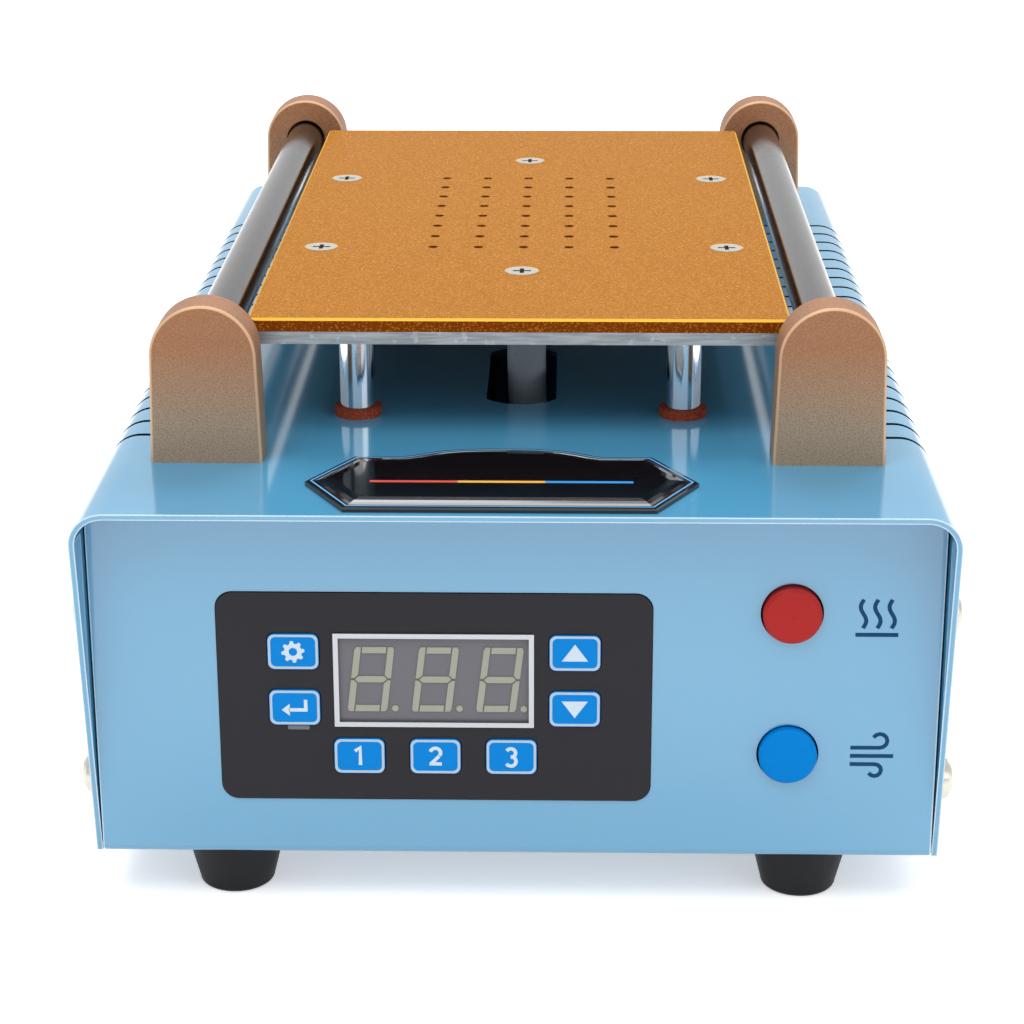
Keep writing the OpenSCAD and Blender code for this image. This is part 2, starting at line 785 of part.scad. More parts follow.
module plate_screws() {
    color("silver") for (p = plate_screw_places) translate([p.x, p.y, work_z + work_t]) difference() {
        union() {
            translate([0, 0, -plate_screw_head_h])
                cylinder(plate_screw_head_h, d1 = plate_screw_d - 2 * screw_gap, d2 = plate_screw_head_d);
            translate([0, 0, -work_t - vacuum_t])
                cylinder(work_t + vacuum_t, d = plate_screw_d - 2 * screw_gap);
        }
        for (a = [0, 90]) rotate([0, 0, a])
            cube([plate_screw_head_d * recess_share, recess_w, 2 * recess_depth], center = true);
    }
}

module standoffs() {
    low = top_z + washer_t;
    color([0.75, 0.76, 0.78]) four(standoff_x, standoff_y) difference() {
        union() {
            translate([0, 0, low]) cylinder(vacuum_z - low, d = standoff_d);
            translate([0, 0, vacuum_z]) cylinder(standoff_spigot_l, d = standoff_spigot_d);
        }
        translate([0, 0, low - over]) cylinder(foot_screw_l + over, d = m3 + 2 * fit);
    }
}

module standoff_washers() {
    color([0.45, 0.18, 0.1]) four(standoff_x, standoff_y) translate([0, 0, top_z]) difference() {
        cylinder(washer_t, d = washer_d);
        translate([0, 0, -over]) cylinder(washer_t + 2 * over, d = m3 + 2 * screw_gap);
    }
}

module standoff_screws() {
    color("silver") four(standoff_x, standoff_y) translate([0, 0, under_z]) rotate([180, 0, 0])
        pan_screw(m3, m3_head_d, m3_head_h, foot_screw_l);
}

module heater_mat() {
    color([0.6, 0.2, 0.12]) translate([0, 0, vacuum_z - mat_t]) difference() {
        linear_extrude(mat_t) rounded(mat_w, mat_l, plate_r);
        translate([port_x, port_y, -over]) cylinder(mat_t + 2 * over, d = mat_relief_d);
    }
}

module hose_fitting() {
    color("gold") translate([port_x, port_y, vacuum_z]) difference() {
        union() {
            translate([0, 0, -barb_flange_t]) cylinder(barb_flange_t, d = barb_flange_d);
            translate([0, 0, -barb_flange_t - barb_l]) cylinder(barb_l, d = nozzle_d);
        }
        translate([0, 0, -barb_flange_t - barb_l - over])
            cylinder(barb_flange_t + barb_l + 2 * over, d = nozzle_bore_d);
    }
}

module vacuum_hose() {
    color([0.75, 0.77, 0.8]) difference() {
        lead(hose_route, hose_d, 3);
        translate([port_x, port_y, hose_route[0].z - barb_l - over])
            cylinder(barb_l + 2 * over, d = hose_bore_d);
        translate([pump_x + nozzle_x, pump_head_y + over, pump_z + nozzle_z]) rotate([90, 0, 0])
            cylinder(nozzle_l + 2 * over, d = hose_bore_d);
    }
}

// Woven sleeve: fine ribs run round it, and the leads leave the bore in its end
module heater_sleeve() {
    path = smooth(sleeve_route, 7);
    n = len(path);
    tip = path[n - 1];
    color("white") difference() {
        swept(path, [for (i = [0:n - 1])
            i == 0 || i == n - 1 ? sleeve_d : sleeve_d - (i % 2) * 2 * sleeve_rib_depth]);
        translate(tip) towards(path[n - 4] - tip)
            translate([0, 0, -over]) cylinder(sleeve_d + over, d = sleeve_bore_d);
    }
}

module heater_leads() {
    color([0.06, 0.06, 0.07]) for (route = lead_routes) lead(route, lead_d, 3);
}

module temperature_sensor() {
    top = vacuum_z - mat_t;
    color("silver") translate([sensor_route[0].x, sensor_route[0].y, top - sensor_lug_t])
        cylinder(sensor_lug_t, d = sensor_lug_d);
}

module sensor_sleeve() {
    top = sensor_route[0];
    color([0.8, 0.84, 0.86]) translate([top.x, top.y, top.z - sensor_tube_l])
        difference() {
            cylinder(sensor_tube_l, d = sensor_tube_d);
            translate([0, 0, -over]) cylinder(sensor_tube_l + 2 * over, d = sensor_tube_bore_d);
        }
}

module sensor_lead() {
    color([0.08, 0.08, 0.09]) lead(sensor_route, sensor_lead_d, 3);
}

// Guide rollers

module bracket_arch() {
    r = bracket_top_w / 2;
    t = bracket_t / 2;
    e = bracket_edge;
    rotate([90, 0, 0]) rotate_extrude() difference() {
        union() {
            square([r - e, 2 * t], center = true);
            translate([0, -t]) square([r - e, 2 * t]);
            translate([0, e - t]) square([r, 2 * (t - e)]);
            for (s = [-1, 1]) translate([r - e, s * (t - e)]) circle(e);
        }
        translate([-2 * r, -2 * t]) square([2 * r, 4 * t]);
    }
}

module bracket_slice(w, z, h) {
    translate([0, 0, z]) linear_extrude(h) rounded(w, bracket_t, bracket_edge, $fn = 32);
}

// One roller bracket: a drafted foot under a full round top, with a blind bore for the
// roller in the face that looks to the middle
module roller_bracket(sx, sy) {
    centre_z = bracket_h - bracket_top_w / 2;
    place = [sx * roller_x, sy * (bracket_y - bracket_t / 2), top_z];
    color([0.62, 0.45, 0.35]) translate(place) difference() {
        union() {
            translate([0, 0, centre_z]) bracket_arch();
            hull() {
                bracket_slice(bracket_foot_w, 0, bracket_edge);
                bracket_slice(bracket_top_w, centre_z - bracket_edge, bracket_edge);
            }
        }
        translate([0, -sy * (bracket_t / 2 + over), centre_z]) rotate([-sy * 90, 0, 0]) {
            cylinder(bracket_recess_depth + over, d = roller_d + 2 * roller_gap);
            cylinder(bracket_bore_depth + over, d = journal_d + 2 * journal_gap);
        }
        for (s = [-1, 1]) translate([s * bracket_screw_span / 2, 0, -over])
            cylinder(bracket_screw_l + over, d = m4 + 2 * fit);
    }
}

module bracket_screws() {
    color("silver") bracket_places() for (s = [-1, 1])
        translate([s * bracket_screw_span / 2, 0, -sheet_t]) rotate([180, 0, 0])
            pan_screw(m4, m4_head_d, m4_head_h, bracket_screw_l);
}

// A roller turns on the thin journals at its ends
module roller(sx) {
    r = roller_d / 2;
    color([0.5, 0.51, 0.52]) translate([sx * roller_x, 0, roller_z]) rotate([90, 0, 0]) {
        rotate_extrude() polygon([
            [0, -roller_l / 2], [r - roller_chamfer, -roller_l / 2], [r, roller_chamfer - roller_l / 2],
            [r, roller_l / 2 - roller_chamfer], [r - roller_chamfer, roller_l / 2], [0, roller_l / 2]]);
        cylinder(roller_l + 2 * journal_l, d = journal_d, center = true);
    }
}

// Control panel

module panel_boss_places() {
    four(panel_w / 2 - boss_inset, panel_h / 2 - boss_inset) children();
}

module control_panel() {
    lip_z = -sheet_t - panel_lip_t;
    boss_l = board_y - panel_back_y;
    color([0.15, 0.15, 0.17]) on_front(panel_x, front_y, panel_z) difference() {
        union() {
            translate([0, 0, lip_z]) linear_extrude(-lip_z + panel_proud) rounded(panel_w, panel_h, panel_r);
            translate([0, 0, lip_z]) linear_extrude(panel_lip_t)
                rounded(panel_w + 2 * panel_lip, panel_h + 2 * panel_lip, panel_r);
            translate([0, 0, lip_z - boss_l]) panel_boss_places() cylinder(boss_l, d = boss_d);
        }
        for (p = key_places) translate([p.x, p.y, lip_z - over])
            linear_extrude(-lip_z + panel_proud + 2 * over)
                rounded(key_w + 2 * key_gap, key_h + 2 * key_gap, key_r + key_gap);
        translate([frame_x, frame_rise, lip_z - over]) linear_extrude(-lip_z + panel_proud + 2 * over)
            square([frame_w - frame_rim, frame_h - frame_rim], center = true);
        translate([0, 0, lip_z - boss_l - over]) panel_boss_places()
            cylinder(board_screw_l, d = board_screw_d);
    }
}

module display_frame() {
    color([0.8, 0.81, 0.83]) on_front(panel_x + frame_x, front_y - panel_proud, panel_z + frame_rise)
        linear_extrude(frame_t) difference() {
            square([frame_w, frame_h], center = true);
            square([frame_w - 2 * frame_rim, frame_h - 2 * frame_rim], center = true);
        }
}

module display_module() {
    face_y = front_y - panel_proud + display_drop;
    color([0.36, 0.36, 0.38]) on_front(panel_x + frame_x, board_y, panel_z + frame_rise)
        linear_extrude(board_y - face_y)
            square([frame_w - frame_rim - 2 * fit, frame_h - frame_rim - 2 * fit], center = true);
}

// Four upright bars, two level ones between them and a pointed one in the middle
module digit() {
    half = digit_h / 2;
    side = digit_w / 2;
    w = segment_w / 2;
    reach = side - segment_gap / 2;
    upright = [[-w, segment_gap + w], [0, segment_gap], [w, segment_gap],
               [w, half - w], [w / 2, half], [-w, half]];
    lean = [[1, tan(digit_lean), 0, 0], [0, 1, 0, 0], [0, 0, 1, 0], [0, 0, 0, 1]];
    multmatrix(lean) linear_extrude(segment_t) {
        polygon([[-reach, 0], [w - reach, w], [reach - w, w],
                 [reach, 0], [reach - w, -w], [w - reach, -w]]);
        for (s = [-1, 1]) translate([0, s * (half - w)])
            square([digit_w - 2 * w - 2 * segment_gap, segment_w], center = true);
        for (sx = [-1, 1], sy = [-1, 1])
            polygon([for (p = upright) [sx * (side + p.x), sy * p.y]]);
    }
}

module display_segments() {
    face_y = front_y - panel_proud + display_drop;
    color([0.72, 0.73, 0.6]) on_front(panel_x + frame_x, face_y, panel_z + frame_rise) for (i = [-1:1]) {
        translate([digit_shift + i * digit_pitch, 0]) digit();
        translate([digit_shift + i * digit_pitch + dot_x, (dot_d - digit_h) / 2])
            cylinder(segment_t, d = dot_d, $fn = 24);
    }
}

module key_cap(i) {
    lift = sheet_t + panel_lip_t + key_collar_gap;
    color([0.05, 0.45, 0.8]) on_front(panel_x + key_places[i].x, front_y, panel_z + key_places[i].y) {
        translate([0, 0, -lift]) linear_extrude(lift + panel_proud + key_proud) rounded(key_w, key_h, key_r);
        translate([0, 0, -lift - key_collar_t]) linear_extrude(key_collar_t)
            rounded(key_w + 2 * key_collar, key_h + 2 * key_collar, key_r);
    }
}

module control_board() {
    color([0.1, 0.35, 0.2]) on_front(panel_x, board_y, panel_z) {
        difference() {
            translate([0, 0, -board_t]) linear_extrude(board_t)
                rounded(panel_w + board_edge, panel_h + board_edge, panel_r);
            translate([0, 0, -board_t - over]) panel_boss_places()
                cylinder(board_t + 2 * over, d = board_screw_d + 2 * screw_gap);
        }
        for (p = key_places) translate(p) {
            translate([0, 0, tact_h / 2]) cube([tact_w, tact_w, tact_h], center = true);
            cylinder(tact_h + tact_tip_h, d = tact_tip_d);
        }
    }
}

module board_screws() {
    color("silver") on_front(panel_x, board_y + board_t, panel_z) panel_boss_places() rotate([180, 0, 0])
        pan_screw(board_screw_d - 2 * fit, board_screw_head_d, board_screw_head_h, board_screw_l);
}

// Push buttons

module button(drop, shade) {
    color(shade) on_front(button_x, front_y, top_z - drop) translate([0, 0, button_proud - button_l]) {
        rotate_extrude() polygon([
            [0, 0], [button_d / 2, 0], [button_d / 2, button_l - button_edge],
            [button_d / 2 - button_edge, button_l - button_edge / 3], [0, button_l]]);
        translate([0, 0, -button_stem_l / 2])
            cube([button_stem_w, button_stem_w, button_stem_l], center = true);
    }
}

module push_switches() {
    socket_w = button_stem_w + 2 * button_pin_gap;
    depth = button_stem_l + button_travel;
    color([0.2, 0.2, 0.22]) for (drop = button_drops)
        on_front(button_x, switch_y, top_z - drop) difference() {
        translate([0, 0, -switch_l / 2]) cube([switch_w, switch_w, switch_l], center = true);
        translate([0, 0, over - depth / 2]) cube([socket_w, socket_w, depth], center = true);
    }
}

module switch_holder() {
    gap = button_drops[1] - button_drops[0];
    mid = top_z - (button_drops[0] + button_drops[1]) / 2;
    board_h = gap + 2 * switch_w;
    color([0.7, 0.72, 0.74]) difference() {
        union() {
            translate([button_x - holder_w / 2, holder_y, tray_z]) cube([holder_w, holder_t, holder_top]);
            translate([button_x - holder_w / 2, holder_y, tray_z]) cube([holder_w, holder_foot_l, holder_t]);
            translate([button_x - holder_w / 2, holder_y - board_t, mid - board_h / 2])
                cube([holder_w, board_t, board_h]);
        }
        for (drop = button_drops) translate([button_x, holder_y, top_z - drop]) rotate([-90, 0, 0])
            cylinder(holder_t + over, d = switch_w);
    }
}

// Power inlet

module inlet_outline() {
    difference() {
        polygon([[-inlet_w / 2, -inlet_side_h / 2], [0, -inlet_h / 2], [inlet_w / 2, -inlet_side_h / 2],
                 [inlet_w / 2, inlet_side_h / 2], [0, inlet_h / 2], [-inlet_w / 2, inlet_side_h / 2]]);
        for (s = [-1, 1]) translate([0, s * inlet_screw_span / 2]) circle(m3 / 2 + screw_gap);
    }
}

// The socket: square on the rocker's side, with its two outer corners cut off
module socket_outline() {
    w = socket_w / 2;
    h = socket_h / 2;
    c = socket_chamfer;
    polygon([[w - socket_r, -h], [w, socket_r - h], [w, h - socket_r], [w - socket_r, h],
             [c - w, h], [-w, h - c], [-w, c - h], [c - w, -h]]);
    for (s = [-1, 1]) translate([w - socket_r, s * (h - socket_r)]) circle(socket_r);
}

module drawer_face(grow) {
    square([drawer_w + 2 * grow, drawer_h + 2 * grow], center = true);
    translate([-(drawer_w + drawer_tab_w) / 2, 0])
        square([drawer_tab_w + 2 * grow, drawer_tab_h + 2 * grow], center = true);
}

function pin_places() =
    let (x = socket_place + pin_shift)
    [[x, pin_pitch / 2], [x, -pin_pitch / 2], [x - pin_offset, 0]];

module inlet_body() {
    face = inlet_flange_t + inlet_frame_t;
    color([0.13, 0.13, 0.14]) on_rear(inlet_x, rear_y, inlet_z) difference() {
        union() {
            linear_extrude(inlet_flange_t) inlet_outline();
            linear_extrude(face) rounded(inlet_frame_w, inlet_frame_h, inlet_frame_r);
            translate([0, 0, -inlet_body_l]) linear_extrude(inlet_body_l)
                square([inlet_body_w, inlet_body_h], center = true);
        }
        translate([rocker_place, 0, -inlet_body_l - over]) linear_extrude(inlet_body_l + face + 2 * over)
            square([rocker_case_w + 2 * fit, rocker_case_h + 2 * fit], center = true);
        translate([rocker_place, 0, face - bezel_step]) linear_extrude(bezel_step + over)
            rounded(bezel_w + 2 * fit, bezel_h + 2 * fit, bezel_r);
        translate([drawer_place, 0, face - drawer_face_t]) linear_extrude(drawer_face_t + over)
            drawer_face(drawer_gap);
        translate([drawer_place, 0, face - drawer_l - drawer_gap]) linear_extrude(drawer_l)
            square([drawer_body_w + 2 * drawer_gap, drawer_body_h + 2 * drawer_gap], center = true);
        translate([socket_place, 0, face - socket_l]) linear_extrude(socket_l + over) socket_outline();
        for (p = pin_places()) translate([p.x, p.y, -inlet_body_l / 2])
            cube([pin_w + 2 * pin_gap, pin_t + 2 * pin_gap, inlet_body_l + 2 * over], center = true);
    }
}

module inlet_screws() {
    color("gainsboro") for (s = [-1, 1])
        on_rear(inlet_x, rear_y + inlet_flange_t, inlet_z + s * inlet_screw_span / 2)
            pan_screw(m3, m3_head_d, m3_head_h, inlet_flange_t + sheet_t + m3);
}

module inlet_pins() {
    out = inlet_flange_t + inlet_frame_t - pin_recess;
    back = inlet_body_l + pin_tail_l;
    color("silver") on_rear(inlet_x, rear_y, inlet_z) for (p = pin_places())
        translate([p.x, p.y, (out - back) / 2]) cube([pin_w, pin_t, out + back], center = true);
}

module rocker_housing() {
    front = bezel_proud;
    color([0.1, 0.1, 0.11]) on_rear(inlet_x + rocker_place, inlet_face_y, inlet_z) difference() {
        union() {
            translate([0, 0, -bezel_step]) linear_extrude(bezel_step + front)
                rounded(bezel_w, bezel_h, bezel_r);
            translate([0, 0, front - rocker_case_l]) linear_extrude(rocker_case_l)
                square([rocker_case_w, rocker_case_h], center = true);
        }
        translate([0, 0, front - rocker_well]) linear_extrude(rocker_well + over)
            square([rocker_w + 2 * rocker_gap, rocker_h], center = true);
        translate([0, 0, front - rocker_depth]) rotate([0, 90, 0])
            cylinder(rocker_case_w + 2 * over, d = rocker_pin_d + 2 * rocker_pin_gap, center = true);
    }
}

module rocker_profile() {
    rotate(-rocker_swing / 2) difference() {
        circle(rocker_body_r, $fn = 72);
        translate([-2 * rocker_body_r - rocker_back, -rocker_body_r]) square(2 * rocker_body_r);
        translate([rocker_face_r + rocker_face_rise, 0]) circle(rocker_face_r, $fn = 96);
    }
}

module rocker() {
    color([0.75, 0.12, 0.08])
        translate([inlet_x + rocker_place, inlet_face_y + bezel_proud - rocker_depth, inlet_z]) {
            along_x(rocker_w) rocker_profile();
            rotate([0, 90, 0])
                cylinder(rocker_w + 2 * rocker_pin_l, d = rocker_pin_d, center = true);
        }
}

module fuse_drawer() {
    inner = fuse_d + 2 * fuse_gap;
    color([0.14, 0.14, 0.15]) on_rear(inlet_x + drawer_place, inlet_face_y, inlet_z) difference() {
        union() {
            translate([0, 0, -drawer_face_t]) linear_extrude(drawer_face_t) drawer_face(0);
            translate([0, 0, -drawer_l]) linear_extrude(drawer_l - drawer_face_t)
                square([drawer_body_w, drawer_body_h], center = true);
        }
        translate([0, 0, -drawer_l / 2]) rotate([90, 0, 0])
            cylinder(fuse_l + 2 * fuse_gap, d = inner, center = true);
        translate([drawer_body_w / 2, 0, -drawer_l / 2])
            cube([drawer_body_w, fuse_l + 2 * fuse_gap, inner], center = true);
    }
}

module fuse() {
    y = inlet_face_y - drawer_l / 2;
    color("silver") translate([inlet_x + drawer_place, y, inlet_z]) {
        cylinder(fuse_l, d = fuse_glass_d, center = true);
        for (s = [-1, 1]) translate([0, 0, s * (fuse_l - fuse_cap_l) / 2])
            cylinder(fuse_cap_l, d = fuse_d, center = true);
    }
}

// Vacuum pump

module pump_head() {
    w = pump_head_w;
    color([0.2, 0.2, 0.21]) translate([pump_x, pump_head_y, pump_z]) {
        difference() {
            translate([-w / 2, pump_lid_t, -w / 2]) cube([w, pump_head_l - pump_lid_t, w]);
            translate([pump_wall - w / 2, pump_lid_t - over, pump_wall - w / 2])
                cube([w - 2 * pump_wall, pump_head_l - pump_lid_t - pump_wall + over, w - 2 * pump_wall]);
            translate([0, pump_head_l / 2, 0]) rotate([-90, 0, 0])
                cylinder(pump_head_l, d = motor_boss_d + 2 * fit);
        }
    }
}

module pump_lid() {
    w = pump_head_w;
    color([0.3, 0.3, 0.32]) translate([pump_x, pump_head_y, pump_z]) {
        translate([-w / 2, 0, -w / 2]) cube([w, pump_lid_t, w]);
        translate([nozzle_x, 0, nozzle_z]) rotate([90, 0, 0]) cylinder(nozzle_l, d = nozzle_d);
    }
}

module pump_motor() {
    color([0.68, 0.69, 0.7]) translate([pump_x, motor_y, pump_z]) rotate([-90, 0, 0]) difference() {
        union() {
            cylinder(motor_l, d = motor_d);
            translate([0, 0, -motor_boss_l]) cylinder(motor_boss_l, d = motor_boss_d);
            translate([0, 0, motor_l]) cylinder(motor_boss_l, d = motor_boss_d);
        }
        translate([0, 0, -motor_boss_l - over]) cylinder(shaft_l, d = shaft_d + 2 * shaft_gap);
    }
}

module pump_crank() {
    color([0.8, 0.75, 0.5]) translate([pump_x, motor_y - pump_wall, pump_z]) rotate([90, 0, 0]) {
        translate([0, 0, -shaft_l / 2]) cylinder(shaft_l, d = shaft_d);
        translate([0, 0, crank_gap]) cylinder(crank_t, d = crank_d);
        translate([crank_throw, 0, crank_t]) cylinder(crank_pin_l, d = crank_pin_d);
    }
}

module pump_clamp() {
    r = motor_d / 2 + fit;
    y = motor_y + motor_l / 2;
    color([0.6, 0.62, 0.64]) translate([pump_x, y, tray_z]) rotate([90, 0, 0])
        linear_extrude(clamp_w, center = true) difference() {
            union() {
                translate([0, pump_head_w / 2]) circle(r + clamp_t);
                translate([-r - clamp_t, 0]) square([2 * (r + clamp_t), pump_head_w / 2]);
                translate([-r - clamp_t - clamp_foot, 0]) square([2 * (r + clamp_t + clamp_foot), clamp_t]);
            }
            translate([0, pump_head_w / 2]) circle(r);
            translate([-r, -over]) square([2 * r, pump_head_w / 2 + over]);
        }
}

// Power supply

module supply_post_places() {
    translate([supply_x, supply_y])
        four(supply_w / 2 - supply_post_inset, supply_l / 2 - supply_post_inset) children();
}

module power_supply() {
    board_z = tray_z + supply_post_h;
    deck = board_z + board_t;
    color([0.1, 0.4, 0.25]) difference() {
        union() {
            translate([supply_x, supply_y, board_z + board_t / 2])
                cube([supply_w, supply_l, board_t], center = true);
            translate([supply_x, supply_y, deck + core_h / 2]) cube([core_w, core_l, core_h], center = true);
            for (share = cap_shares)
                translate([supply_x + supply_w / 2 - cap_d, supply_y - core_l / 2 - share * cap_d, deck])
                    cylinder(cap_h, d = cap_d);
            translate([supply_x - supply_w / 2 + sink_t, supply_y, deck + sink_h / 2])
                cube([sink_t, sink_w, sink_h], center = true);
            translate([terminal_x, terminal_y, deck + terminal_h / 2])
                cube([terminal_w, terminal_l, terminal_h], center = true);
            translate([(harness_routes[0][9].x + harness_routes[1][9].x) / 2,
                       supply_y - supply_l / 2 + header_l / 2, deck + header_h / 2])
                cube([header_w, header_l, header_h], center = true);
        }
        translate([0, 0, board_z - over]) supply_post_places()
            cylinder(board_t + 2 * over, d = m3 + 2 * screw_gap);
    }
}

module supply_posts() {
    color("gold") translate([0, 0, tray_z]) supply_post_places() {
        cylinder(supply_post_h, d = supply_post_d);
        cylinder(supply_post_h + board_t, d = m3);
    }
}

module switch_wires() {
    color([0.08, 0.08, 0.09]) for (route = harness_routes) lead(route, harness_d, 3);
}

base_tray();
cover();
feet();
foot_screws();
side_screws();
roller_bracket(-1, -1);  // bracket_front_left
roller_bracket(1, -1);  // bracket_front_right
roller_bracket(-1, 1);  // bracket_rear_left
roller_bracket(1, 1);  // bracket_rear_right
bracket_screws();
roller(-1);  // roller_left
roller(1);  // roller_right
work_plate();
vacuum_plate();
plate_screws();
standoffs();
standoff_washers();
standoff_screws();
heater_mat();
hose_fitting();
vacuum_hose();
heater_sleeve();
heater_leads();
sensor_sleeve();
sensor_lead();
temperature_sensor();
name_plate();
hole_plug();
control_panel();
display_frame();
display_module();
display_segments();
key_cap(0);  // key_set
key_cap(1);  // key_enter
key_cap(2);  // key_up
key_cap(3);  // key_down
key_cap(4);  // key_channel_1
key_cap(5);  // key_channel_2
key_cap(6);  // key_channel_3
control_board();
board_screws();
button(button_drops[0], "firebrick");  // heat_button
button(button_drops[1], "dodgerblue");  // air_button
push_switches();
switch_holder();
inlet_body();
inlet_screws();
inlet_pins();
rocker_housing();
rocker();
fuse_drawer();
fuse();
pump_head();
pump_lid();
pump_motor();
pump_crank();
pump_clamp();
power_supply();
supply_posts();
switch_wires();
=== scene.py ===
"""Looks of the vacuum and heat separator for phone screens.

Metres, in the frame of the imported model: origin on the table under the middle of the case, +Z up,
the control panel faces -Y and the power inlet faces +Y.
"""

import json
import math

import bmesh
import bpy
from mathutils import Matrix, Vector


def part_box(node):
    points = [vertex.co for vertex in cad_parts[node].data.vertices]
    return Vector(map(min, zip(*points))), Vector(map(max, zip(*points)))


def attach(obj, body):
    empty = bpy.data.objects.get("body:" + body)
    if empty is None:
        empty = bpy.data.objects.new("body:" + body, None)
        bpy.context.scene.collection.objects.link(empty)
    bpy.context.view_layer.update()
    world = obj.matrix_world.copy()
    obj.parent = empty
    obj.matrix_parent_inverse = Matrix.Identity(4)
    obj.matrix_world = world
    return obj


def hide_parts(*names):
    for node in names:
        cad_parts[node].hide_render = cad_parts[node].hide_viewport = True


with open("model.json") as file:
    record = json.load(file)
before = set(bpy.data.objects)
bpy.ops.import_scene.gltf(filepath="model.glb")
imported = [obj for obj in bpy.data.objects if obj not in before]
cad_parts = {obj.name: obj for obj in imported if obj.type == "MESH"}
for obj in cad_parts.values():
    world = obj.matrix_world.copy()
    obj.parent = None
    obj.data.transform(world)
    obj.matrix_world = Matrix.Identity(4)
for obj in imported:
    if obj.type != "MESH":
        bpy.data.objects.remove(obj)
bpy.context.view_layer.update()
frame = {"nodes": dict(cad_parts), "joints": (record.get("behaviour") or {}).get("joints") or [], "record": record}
BASE = "base"
MM = 0.001
SCENE = bpy.context.scene
SCENE.view_settings.view_transform = "Standard"


# Colours and node trees

def srgb(r, g, b):
    """A colour of 0 to 255 as the eye sees it, as the linear values that a shader takes."""
    def linear(c):
        c = c / 255
        return c / 12.92 if c <= 0.04045 else ((c + 0.055) / 1.055) ** 2.4
    return (linear(r), linear(g), linear(b), 1.0)


# Dot products of the rounded normal and the flat one: away from an edge, and on it
EDGE_TURN = (0.995, 0.93)
BEVEL_SAMPLES = 6


